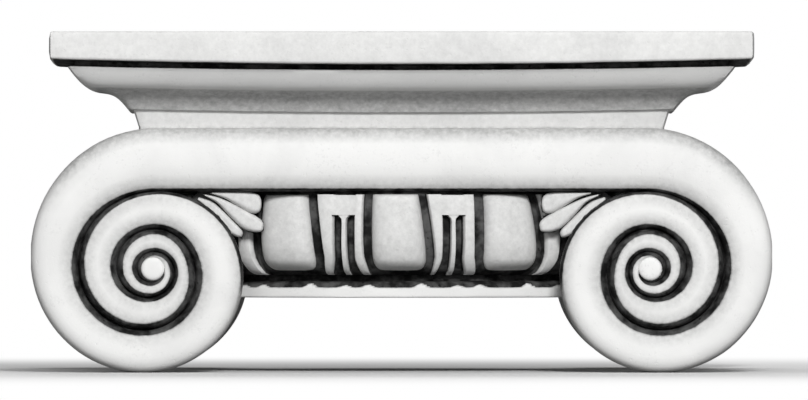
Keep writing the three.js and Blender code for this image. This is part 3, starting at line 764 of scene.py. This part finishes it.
def shell_leg(dart_number, egg_number, turned):
    """One shell leg beside an egg, from the canalis to its foot that turns in under the egg."""
    echinus = sizes("echinus")
    belly = levels()["belly"]
    angle = dart_angle(dart_number)
    side = math.copysign(1, egg_number - dart_number)
    reach = abs(egg_angle(egg_number) - angle) * belly
    gap = echinus.side_gap if abs(dart_number) < abs(egg_number) else echinus.shell_gap
    bottom = EGG_FOOT + EGG_WIDEST
    top = echinus.height - EGG_TOP_GAP
    heights = np.concatenate([np.linspace(0, bottom, 12), np.linspace(SHELL_STRAIGHT, top, 16)])
    foot = np.maximum(0, 1 - heights / bottom)
    outer = echinus.dart_width / 2 + echinus.slot_width + SHELL_FOOT_SPREAD * foot ** SHELL_FOOT_POWER
    half = egg_half_width(np.maximum(heights, bottom)) * widening(egg_number)
    inner = reach - half - gap + SHELL_FOOT_TURN * foot + side * lean(heights)
    edges = (outer, inner) if side > 0 else (-inner, -outer)
    return rib("shell_leg", angle, heights, *edges, SHELL_SETBACK, SHELL_BEVEL, turned, SHELL_FOOT_SHADE)


def dart(number, turned):
    """The dart between two shell legs, a little narrower upwards and forked where it meets its head."""
    echinus = sizes("echinus")
    top = echinus.slot_top + FLUSH
    heights = np.concatenate([np.linspace(0, top - 5 * MM, 14), np.linspace(top - 4.5 * MM, top, 8)])
    fork = FORK_SPREAD * np.clip((heights - top + FORK_HEIGHT) / FORK_RUN, 0, 1)
    half = echinus.dart_width / 2 * mix(DART_FOOT_WIDTH, DART_TOP_WIDTH, heights / top) + fork
    return rib("dart", dart_angle(number), heights, -half, half, DART_SETBACK,
               echinus.dart_width * DART_BEVEL, turned, DART_FOOT_SHADE)


def shell_head(number, turned):
    """The flat head that joins two shell legs and the dart under the canalis."""
    echinus = sizes("echinus")
    half = echinus.dart_width / 2 + echinus.slot_width + SHELL_BEVEL + FLUSH
    top = echinus.height - EGG_TOP_GAP - FLUSH / 4
    heights = np.linspace(echinus.slot_top, top, 8)
    return rib("shell_head", dart_angle(number), heights, -half, half, HEAD_SETBACK, SHELL_BEVEL, turned)


# Palmettes: each leaf's upper and lower edge, from root to tip, measured in millimetres from the junction of
# scroll and canalis towards the middle and up, and the depth of its crown
LEAVES = (
    {"upper": ((10, -0.8), (24, -0.6), (37, -0.9), (46.5, -3.4), (50.3, -9.6)),
     "lower": ((10, -1.8), (20.5, -5.2), (31, -11), (40.5, -16.2), (48.4, -17.2)), "front": 15},
    {"upper": ((4, -2.4), (16.5, -5.8), (31, -12.8), (44.5, -20.4), (52, -25.5)),
     "lower": ((4, -3.4), (14, -8.8), (24, -19.2), (36.5, -30), (50.5, -33.2)), "front": 16.5},
    {"upper": ((-1, -4.8), (9.5, -8.8), (18.5, -16.4), (27.5, -25.4), (35.5, -32.8)),
     "lower": ((-2, -6.8), (5, -13), (13.5, -23.2), (22.8, -32.2), (33.4, -38)), "front": 18},
)
LEAF_JUNCTION = 163 * MM
LEAF_BACK = 90 * MM
LEAF_GROUND_ROWS = np.linspace(0, 0.65, 8)
LEAF_GROUND_COLUMNS = np.linspace(0, 1, 6)
LEAF_GROUND_SETBACK = 24 * MM
LEAF_GROUND_MARGIN = 8 * MM
LEAF_ROUND = 6 * MM
LEAF_FULLNESS = 1.16
LEAF_TIP = 0.2
LEAF_TIP_WIDTH = 0.2
LEAF_TIP_TAPER = 0.15
LEAF_TIP_ROUND = 0.1
LEAF_SHOULDER = 0.6
LEAF_POWER = 2.2
LEAF_EDGE_SHADE = (0.05, 0.45)


def in_corner(side, plan, depth):
    """Points of a palmette; plan runs from the junction to the middle and up, depth from the crown back."""
    at = levels()
    x = side * (LEAF_JUNCTION - plan[..., 0])
    return np.stack([x, depth - at["face"] + 0 * x, at["crease"] + plan[..., 1]], -1)


def leaf(side, shape, turned):
    """One palmette leaf: a full petal between its two edges, rounded across and at its tip."""
    tip = LEAF_TIP * (1 - np.sin(np.linspace(0, math.pi / 2, 9)))
    share = np.concatenate([np.linspace(0, 1 - LEAF_TIP, 14), 1 - tip[1:]])
    upper = smooth(shape["upper"], share * (len(shape["upper"]) - 1)) * MM
    lower = smooth(shape["lower"], share * (len(shape["lower"]) - 1)) * MM
    column = np.sin(np.linspace(-math.pi / 2, math.pi / 2, 17))
    full = LEAF_FULLNESS * mix(LEAF_TIP_WIDTH, 1, shoulder((1 - share) / LEAF_TIP_TAPER, 2))
    plan = mix(lower[:, None], upper[:, None], ((1 + full[:, None] * column) / 2)[..., None])
    across = shoulder((1 - np.abs(column)) / LEAF_SHOULDER, LEAF_POWER)
    relief = across[None] * shoulder((1 - share) / LEAF_TIP_ROUND, 2)[:, None]
    front = in_corner(side, plan, shape["front"] * MM + LEAF_ROUND * (1 - relief))
    # Painted shade with patina: darker towards the leaf's edges and tip, and a little darker all over.
    stain_and_shade = np.maximum(1 - step(*LEAF_EDGE_SHADE, relief), CARVING_SHADE)
    return add_block("leaf", front, in_corner(side, plan, LEAF_BACK), stain_and_shade, turned)


def leaf_ground(side, turned):
    """Ground behind one palmette, darkened all over as painted shade: the fan between the lowest and the
    highest edge of its leaves, from their roots to two thirds of their length, let into the scroll and the
    canalis."""
    last = len(LEAVES[0]["upper"]) - 1
    low = smooth(LEAVES[-1]["lower"], LEAF_GROUND_ROWS * last)[:, None] * MM - (LEAF_GROUND_MARGIN, 0)
    high = smooth(LEAVES[0]["upper"], LEAF_GROUND_ROWS * last)[:, None] * MM + (0, LEAF_GROUND_MARGIN)
    plan = mix(low, high, LEAF_GROUND_COLUMNS[:, None])
    front, back = (in_corner(side, plan, depth) for depth in (LEAF_GROUND_SETBACK, LEAF_BACK))
    return add_block("leaf_ground", front, back, 1, turned)


# Abacus

SIDE_STEPS = 56
CHAMFER = 2.4 * MM
CORNER_ROUND = 1.6 * MM
FILLET_BATTER = 4.3 * MM
FILLET_STEP = 4.2 * MM
CYMA_SWING = 0.13
# Painted shade on the lower, downward-facing half of the cyma; the slab and fillet evenly a little darker.
CYMA_SHADE = 0.5
SLAB_SHADE = 0.2
LIP_LIFT = 0.75
SEAT = 1 * MM
LIP_SETBACK = 15.2 * MM
TOP_MARGIN = 9 * MM
TOP_MIDDLE = 40 * MM


def abacus_profile():
    """Half width, height, patina with painted shade, corner lift and edge wear at each station of the
    moulding, from
    underside to top: fillet, double curve as a line plus a sine, cove, slab with rounded edges."""
    abacus = sizes("abacus")
    at = levels()
    slab = CAD_HIGH.y
    foot, top = at["scroll_top"], at["top"]
    fillet = at["face"] - abacus.fillet_setback
    cyma_foot = fillet + FILLET_BATTER + FILLET_STEP
    cyma_base = foot + abacus.fillet_height
    cyma_top = cyma_base + abacus.cyma_height
    cove_top = cyma_top + abacus.cove_height
    lip = slab - LIP_SETBACK
    run = np.linspace(0, 1, 26)
    rise = run + CYMA_SWING * np.sin(2 * math.pi * run)
    turn = np.linspace(0, math.pi / 2, 6)
    # Painted shade with patina darkens the creases at the fillet, the lower half of the cyma, the cove and
    # the slab's lower edge.
    return np.array([
        (fillet, foot - SEAT, 0.5, 0, 0),
        (fillet, foot + 0.6 * MM, 0.35, 0, 0),
        *((fillet + FILLET_BATTER * share, mix(foot, cyma_base, share), SLAB_SHADE, 0.5 * share, 0.1)
          for share in (0.15, 0.5, 0.9)),
        (fillet + FILLET_BATTER, cyma_base, SLAB_SHADE, 0.6, 0.2),
        (cyma_foot - 0.6 * MM, cyma_base + 0.2 * MM, 0.35, 0.6, 0),
        *((mix(cyma_foot, lip, r), mix(cyma_base, cyma_top, h), CYMA_SHADE * float(step(0.66, 0.5, r)),
           mix(0.65, LIP_LIFT, r), 0.15) for r, h in zip(run, rise)),
        (lip - 0.1 * MM, cyma_top + 0.7 * MM, 0.5, LIP_LIFT, 0),
        (lip - 1.2 * MM, cyma_top + 1.1 * MM, 1, LIP_LIFT, 0),
        (lip - abacus.cove_depth, cyma_top + 2 * MM, 1, LIP_LIFT, 0),
        (lip - abacus.cove_depth, cove_top - 1.5 * MM, 1, 1, 0),
        (slab - CHAMFER - 8 * MM, cove_top - 0.4 * MM, 1, 1, 0.1),
        (slab - CHAMFER - 1 * MM, cove_top, 0.85, 1, 0.4),
        *((slab - CHAMFER * (1 - math.sin(a)), cove_top + CHAMFER * (1 - math.cos(a)),
           max(SLAB_SHADE, 0.7 * float(step(0.35, 0, a))), 1, 1) for a in turn),
        *((slab, mix(cove_top + CHAMFER, top - CHAMFER, share), SLAB_SHADE, 1 - share, 0.12)
          for share in (0.2, 0.4, 0.6, 0.8)),
        *((slab - CHAMFER * (1 - math.cos(a)), top - CHAMFER * (1 - math.sin(a)), SLAB_SHADE, 0, 1)
          for a in turn),
        (slab - TOP_MARGIN, top, SLAB_SHADE, 0, 0),
        (slab - TOP_MIDDLE, top, 0, 0, 0),
    ])


def worn_edge(side, along):
    """Depth of wear along one side, from 0 to 1: a few broad dips and smaller nicks from sums of sines."""
    phase = 1.7 * side
    broad = np.sin(along * 23 + phase) * np.sin(along * 41 + 2.3 * phase + 0.8)
    fine = np.sin(along * 131 + 3.1 * phase) * np.sin(along * 77 + phase) * np.sin(along * 211 + 0.6)
    return 0.15 + 0.5 * step(0.25, 0.95, broad) + 0.65 * step(0.22, 0.7, fine)


def abacus():
    """The abacus: the profile carried round a square, its corners a little rounded, its edges worn."""
    profile = abacus_profile()
    share = np.sin(np.linspace(-math.pi / 2, math.pi / 2, SIDE_STEPS + 1)[:-1])
    share = mix(share, np.linspace(-1, 1, SIDE_STEPS + 1)[:-1], 0.7)
    half, height, stain_and_shade, lift, wear = profile.T[:, :, None]
    sides = []
    for side in range(4):
        worn = sizes("abacus").wear * wear * worn_edge(side, share * half)
        corner = CORNER_ROUND * np.abs(share) ** 60
        out = half - worn - corner
        across = share * (half - corner)
        z = height + sizes("abacus").corner_lift * lift * share ** 2
        turn = side * math.pi / 2
        x = across * math.cos(turn) + out * math.sin(turn)
        y = across * math.sin(turn) - out * math.cos(turn)
        sides.append(np.stack([x, y, z + 0 * x], -1))
    return add_rings("abacus", np.concatenate(sides, 1), stain_and_shade)


SHAFT_CLEARANCE = 3 * MM


def shaft_space():
    """Room for the top of the shaft, cut out of the bolsters under the bed."""
    radius = sizes("echinus").shaft_radius + SHAFT_CLEARANCE
    height = np.array([-FLUSH, levels()["bed"] + SHAFT_CLEARANCE])[:, None]
    return add_rings("shaft_space", around(full_circle(ROUND_STEPS), radius, height), 0)


# Joining and finish

SHARP_ANGLE = math.radians(38)

# Scales of the stone's noises, in waves per metre
CLOUDS = 13
PATCHES = 46
DEPTHS = 70
SHEEN = 160
RAGGED = 210
PITS = 240
SPECKLE = 430


def joined(bodies, operation="UNION"):
    """The first body joined with, or cut by, the others; the others are used up."""
    whole = bodies[0]
    for other in bodies[1:]:
        cut = whole.modifiers.new("join", "BOOLEAN")
        cut.operation = operation
        cut.solver = "MANIFOLD"
        cut.object = other
        with bpy.context.temp_override(object=whole, active_object=whole):
            bpy.ops.object.modifier_apply(modifier=cut.name)
        mesh = other.data
        bpy.data.objects.remove(other)
        bpy.data.meshes.remove(mesh)
    return whole


def parts_named(*names):
    """The bodies made so far whose names start with one of these."""
    return [body for body in bpy.data.collections[PARTS].objects if body.name.split(".")[0] in names]


def read_all(items, field, columns, kind=np.float32):
    """One field of every item of a mesh, a row for each item."""
    values = np.zeros(len(items) * columns, kind)
    items.foreach_get(field, values)
    return values.reshape(-1, columns)


def spread_patina_and_shade(mesh):
    """Gives points that the joins made the patina and painted shade of their darkest neighbour, which darkens
    the creases at the joins as painted shade, and ends the offset of 1.
    """
    layer = mesh.attributes[PATINA_AND_SHADE].data
    values = read_all(layer, "value", 1)[:, 0].astype(float)
    a, b = read_all(mesh.edges, "vertices", 2, np.int32).T
    made = values < 0.5
    for _ in range(SEAM_SPREAD):
        darkest = values.copy()
        np.maximum.at(darkest, a, values[b])
        np.maximum.at(darkest, b, values[a])
        values = np.where(made, darkest, values)
    layer.foreach_set("value", np.clip(values - 1, 0, 1).astype(np.float32))


def unevenness(points):
    """Hand-made unevenness at a point: three crossed sine waves of 40 to 110 mm, from -1 to 1."""
    x, y, z = points.T
    slow = np.sin(57 * x + 0.7) * np.sin(61 * z + 1.9 + 23 * x) * np.cos(49 * y + 0.4)
    mid = np.sin(104 * x + 31 * z + 2.1) * np.sin(117 * z - 40 * x + 0.5) * np.cos(98 * y + 1.2)
    fine = np.sin(151 * z + 1.1) * np.sin(139 * x + 87 * y + 0.3)
    return 0.5 * slow + 0.3 * mid + 0.2 * fine


def set_value(node, **inputs):
    """Sets sockets of a node by name, with underscores for spaces."""
    for name, value in inputs.items():
        node.inputs[name.replace("_", " ")].default_value = value
    return node


def add_node(tree, kind, **inputs):
    """A new shader node of a kind, with some of its sockets set."""
    return set_value(tree.nodes.new("ShaderNode" + kind), **inputs)


def new_material(name):
    """A material with its node tree and the shader in it."""
    material = bpy.data.materials.new(name)
    material.use_nodes = True
    return material, material.node_tree, material.node_tree.nodes["Principled BSDF"]


def stone_material():
    """White cast stone: clouded and speckled, dark patina and painted shade where the attribute says, fine
    grain and pits.
    """
    finish = sizes("finish")
    material, tree, shader = new_material("cast_stone_patina")
    links = tree.links
    place = add_node(tree, "TexCoord").outputs["Object"]

    def noise(scale, detail=3.0, roughness=0.55, distortion=0.0):
        node = add_node(tree, "TexNoise", Scale=scale, Detail=detail, Roughness=roughness,
                        Distortion=distortion)
        links.new(place, node.inputs["Vector"])
        return node.outputs["Fac"]

    def ramp(source, low, high, start=0.0, end=1.0):
        node = add_node(tree, "MapRange", From_Min=low, From_Max=high, To_Min=start, To_Max=end)
        node.interpolation_type = "SMOOTHSTEP"
        links.new(source, node.inputs["Value"])
        return node.outputs["Result"]

    def feed(sockets, values):
        for socket, value in zip(sockets, values):
            if isinstance(value, (float, tuple)):
                socket.default_value = value
            else:
                links.new(value, socket)

    def reckon(operation, first, second):
        node = add_node(tree, "Math")
        node.operation = operation
        feed(node.inputs, (first, second))
        return node.outputs["Value"]

    # A mix node has its share at socket 0, its two colours at 6 and 7 and their mix at output 2
    def color_blend(share, first, second):
        node = add_node(tree, "Mix")
        node.data_type = "RGBA"
        feed((node.inputs[0], node.inputs[6], node.inputs[7]), (share, first, second))
        return node.outputs[2]

    clouds = ramp(noise(CLOUDS, 4, 0.6, 0.4), 0.42, 0.68)
    speckle = ramp(noise(SPECKLE, 3, 0.65), 0.53, 0.7, 0.0, 0.7)
    patches = ramp(noise(PATCHES, 3, 0.6), 0.45, 0.65)
    color = color_blend(reckon("MULTIPLY", clouds, 0.42), (*finish.stone, 1), (*finish.shade, 1))
    color = color_blend(reckon("MULTIPLY", speckle, patches), color, (*finish.shade, 1))

    # Patina and painted shade from the attribute: a ragged dark core and a soft even part, whichever is
    # darker.
    attribute = add_node(tree, "Attribute")
    attribute.attribute_name = PATINA_AND_SHADE
    patina = attribute.outputs["Fac"]
    ragged = reckon("SUBTRACT", noise(RAGGED, 4, 0.65), 0.5)
    edge = reckon("ADD", patina, reckon("MULTIPLY", ragged, 0.34))
    soft_patina_and_shade = reckon("MULTIPLY", patina, reckon("ADD", 0.8, reckon("MULTIPLY", ragged, 1.5)))
    stained_and_shaded = reckon("MAXIMUM", ramp(edge, 0.45, 0.82), soft_patina_and_shade)
    deep = ramp(noise(DEPTHS, 3, 0.6), 0.35, 0.7, 1.0, 0.9)
    color = color_blend(reckon("MULTIPLY", stained_and_shaded, deep), color, (*finish.patina, 1))
    links.new(color, shader.inputs["Base Color"])

    links.new(ramp(noise(SHEEN, 3), 0.3, 0.7, 0.62, 0.82), shader.inputs["Roughness"])
    links.new(ramp(stained_and_shaded, 0.0, 0.8, 0.35, 0.08), shader.inputs["Specular IOR Level"])

    grain = noise(1 / finish.grain, 5, 0.62)
    pits = ramp(noise(PITS, 2, 0.5), 0.66, 0.74, 0.0, -1.0)
    relief = reckon("ADD", reckon("MULTIPLY", grain, 0.55), reckon("MULTIPLY", pits, 0.8))
    bump = add_node(tree, "Bump", Strength=0.45, Distance=0.4 * MM)
    links.new(relief, bump.inputs["Height"])
    links.new(bump.outputs["Normal"], shader.inputs["Normal"])
    return material


WHITE = (1, 1, 1, 1)
FLOOR_COLOR = (0.86, 0.86, 0.86, 1)
FADE_START = 0.08
FADE_END = 0.6


def shader_blend(tree, share, first, second):
    """The first shader at share 0, the second at share 1."""
    node = add_node(tree, "MixShader")
    for socket, value in zip(node.inputs, (share, first, second)):
        tree.links.new(value, socket)
    return node.outputs["Shader"]


def seen_blend(tree, lighting, seen):
    """One shader for the light that falls on the capital, another for what the picture shows."""
    return shader_blend(tree, add_node(tree, "LightPath").outputs["Is Camera Ray"], lighting, seen)


def floor_material():
    """Plain pale surface that fades to the brightness of the surroundings towards its rim."""
    stage = sizes("stage")
    material, tree, shader = new_material("pale_floor")
    set_value(shader, Base_Color=FLOOR_COLOR, Roughness=0.9, Specular_IOR_Level=0.1)
    distance = add_node(tree, "VectorMath")
    distance.operation = "LENGTH"
    tree.links.new(add_node(tree, "TexCoord").outputs["Object"], distance.inputs[0])
    fade = add_node(tree, "MapRange", From_Min=FADE_START * stage.floor_radius,
                    From_Max=FADE_END * stage.floor_radius)
    fade.interpolation_type = "SMOOTHERSTEP"
    tree.links.new(distance.outputs["Value"], fade.inputs["Value"])
    glow = add_node(tree, "Emission", Color=WHITE, Strength=stage.backdrop)
    dim = add_node(tree, "BsdfDiffuse", Color=(stage.bounce, stage.bounce, stage.bounce, 1))
    seen = shader_blend(tree, fade.outputs["Result"], shader.outputs["BSDF"], glow.outputs["Emission"])
    surface = seen_blend(tree, dim.outputs["BSDF"], seen)
    tree.links.new(surface, tree.nodes["Material Output"].inputs["Surface"])
    return material


# Operators

class CAPITAL_OT_scrolls(bpy.types.Operator):
    """Models both scrolled faces, the bolsters and the block between them"""

    bl_idname = "capital.scrolls"
    bl_label = "Scrolls and bolsters"

    def execute(self, context):
        for turned in (1, -1):
            scroll_face(turned)
        for side in (-1, 1):
            bolster(side)
        cushion()
        return {"FINISHED"}


class CAPITAL_OT_neck(bpy.types.Operator):
    """Models the neck band, its recess and the ground of the echinus"""

    bl_idname = "capital.neck"
    bl_label = "Neck"

    def execute(self, context):
        neck()
        return {"FINISHED"}


class CAPITAL_OT_eggs_and_darts(bpy.types.Operator):
    """Models the eggs, shells and darts that show between the volutes"""

    bl_idname = "capital.eggs_and_darts"
    bl_label = "Eggs and darts"

    def execute(self, context):
        for turned in (1, -1):
            for number in (-1, 0, 1):
                egg(number, turned)
                shell_leg(number - 0.5, number, turned)
                shell_leg(number + 0.5, number, turned)
            for number in (-0.5, 0.5):
                dart(number, turned)
                shell_head(number, turned)
        return {"FINISHED"}


class CAPITAL_OT_palmettes(bpy.types.Operator):
    """Models the three-leaf palmette in each corner between scroll and echinus"""

    bl_idname = "capital.palmettes"
    bl_label = "Palmettes"

    def execute(self, context):
        for turned in (1, -1):
            for side in (-1, 1):
                leaf_ground(side, turned)
                for shape in LEAVES:
                    leaf(side, shape, turned)
        return {"FINISHED"}


class CAPITAL_OT_abacus(bpy.types.Operator):
    """Models the moulded square abacus"""

    bl_idname = "capital.abacus"
    bl_label = "Abacus"

    def execute(self, context):
        abacus()
        return {"FINISHED"}


class CAPITAL_OT_casting(bpy.types.Operator):
    """Joins the modelled forms into the one casting and gives it its finish"""

    bl_idname = "capital.casting"
    bl_label = "Join and finish"

    def execute(self, context):
        scrolls = joined(parts_named("scroll", "bolster", "cushion"))
        scrolls = joined([scrolls, shaft_space()], "DIFFERENCE")
        scrolls.name = "scrolls"
        carving = parts_named("egg", "shell_leg", "shell_head", "dart", "leaf", "leaf_ground")
        casting = joined([*parts_named("neck"), *parts_named("abacus"), *carving, scrolls])
        casting.name = casting.data.name = "capital_casting"
        mesh = casting.data
        spread_patina_and_shade(mesh)
        points = read_all(mesh.vertices, "co", 3).astype(float)
        at = levels()
        flat = (np.abs(points[:, 2] - at["top"]) < MM) | (np.abs(points[:, 2] - at["bed"]) < MM)
        swell = sizes("finish").unevenness * unevenness(points) * ~flat
        points += read_all(mesh.vertex_normals, "vector", 3) * swell[:, None]
        points = np.clip(points, CAD_LOW, CAD_HIGH)
        mesh.vertices.foreach_set("co", points.astype(np.float32).ravel())
        mesh.polygons.foreach_set("use_smooth", np.ones(len(mesh.polygons), bool))
        mesh.set_sharp_from_angle(angle=SHARP_ANGLE)
        mesh.update()
        mesh.materials.clear()
        mesh.materials.append(stone_material())
        context.scene.collection.objects.link(casting)
        parts = bpy.data.collections[PARTS]
        parts.objects.unlink(casting)
        bpy.data.collections.remove(parts)
        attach(casting, BODY)
        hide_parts(CAD_NODE)
        return {"FINISHED"}


FLOOR_RINGS = (0.04, 0.3, 1)
FLOOR_STEPS = 96
FLOOR_GAP = 0.2 * MM
LIGHT_DISTANCE = 5

# Name, angle to the right, angle up, size, and power as a share of the key light's
LIGHTS = (
    ("key_light", 8, 23, 1, 1),
    ("fill_light", -14, 6, 2.5, 0.15),
    ("back_light", 180, 45, 2.5, 0.4),
)


class CAPITAL_OT_stage(bpy.types.Operator):
    """Adds the pale floor, the soft lights and the camera"""

    bl_idname = "capital.stage"
    bl_label = "Stage"

    def execute(self, context):
        stage = sizes("stage")
        radius = np.array(FLOOR_RINGS)[:, None] * stage.floor_radius
        points = around(full_circle(FLOOR_STEPS), radius, -FLOOR_GAP)
        mesh = bpy.data.meshes.new("floor")
        faces = grid_quads(len(FLOOR_RINGS), FLOOR_STEPS, ring=True)[:, ::-1].tolist()
        faces.append(np.arange(FLOOR_STEPS).tolist())
        mesh.from_pydata(points.reshape(-1, 3).tolist(), [], faces)
        mesh.materials.append(floor_material())
        floor = bpy.data.objects.new("floor", mesh)
        context.scene.collection.objects.link(floor)

        world = bpy.data.worlds.new("surroundings")
        world.use_nodes = True
        tree = world.node_tree
        seen = set_value(tree.nodes["Background"], Color=WHITE, Strength=stage.backdrop)
        ambient = add_node(tree, "Background", Color=WHITE, Strength=stage.ambient)
        both = seen_blend(tree, ambient.outputs["Background"], seen.outputs["Background"])
        tree.links.new(both, tree.nodes["World Output"].inputs["Surface"])
        context.scene.world = world

        middle = Vector((0, 0, levels()["crease"]))
        for name, azimuth, elevation, size, power in LIGHTS:
            lamp = bpy.data.lights.new(name, "AREA")
            lamp.shape = "DISK"
            lamp.size = size
            lamp.energy = power * stage.key_power
            light = bpy.data.objects.new(name, lamp)
            a, e = math.radians(azimuth), math.radians(elevation)
            away = Vector((math.sin(a) * math.cos(e), -math.cos(a) * math.cos(e), math.sin(e)))
            light.location = middle + away * LIGHT_DISTANCE
            light.rotation_euler = (-away).to_track_quat("-Z", "Y").to_euler()
            context.scene.collection.objects.link(light)

        lens = bpy.data.cameras.new("camera")
        lens.lens = stage.lens
        distance = stage.lens * stage.frame_width / lens.sensor_width
        lens.clip_end = 3 * distance
        camera = bpy.data.objects.new("camera", lens)
        camera.location = (stage.camera_side, -levels()["face"] - distance, stage.camera_height)
        camera.rotation_euler = (math.pi / 2, 0, 0)
        context.scene.collection.objects.link(camera)
        context.scene.camera = camera
        context.scene.view_settings.view_transform = "Standard"
        return {"FINISHED"}


OPERATORS = (
    CAPITAL_OT_scrolls,
    CAPITAL_OT_neck,
    CAPITAL_OT_eggs_and_darts,
    CAPITAL_OT_palmettes,
    CAPITAL_OT_abacus,
    CAPITAL_OT_casting,
    CAPITAL_OT_stage,
)


class CAPITAL_PT_panel(bpy.types.Panel):
    """Lists the sizes of the capital and the steps that model it"""

    bl_idname = "CAPITAL_PT_panel"
    bl_label = "Ionic capital"
    bl_space_type = "VIEW_3D"
    bl_region_type = "UI"
    bl_category = "Capital"

    def draw(self, context):
        for name, group in GROUPS.items():
            box = self.layout.box()
            box.label(text=group.__doc__)
            for field in group.__annotations__:
                box.prop(sizes(name), field)
        for operator in OPERATORS:
            self.layout.operator(operator.bl_idname)


def register():
    for name, group in GROUPS.items():
        bpy.utils.register_class(group)
        setattr(bpy.types.Scene, PREFIX + name, bpy.props.PointerProperty(type=group))
    for cls in (*OPERATORS, CAPITAL_PT_panel):
        bpy.utils.register_class(cls)


def unregister():
    for cls in (CAPITAL_PT_panel, *reversed(OPERATORS)):
        bpy.utils.unregister_class(cls)
    for name, group in reversed(GROUPS.items()):
        delattr(bpy.types.Scene, PREFIX + name)
        bpy.utils.unregister_class(group)


def main():
    register()
    for operator in OPERATORS:
        area, name = operator.bl_idname.split(".")
        getattr(getattr(bpy.ops, area), name)()


if __name__ == "__main__":
    main()
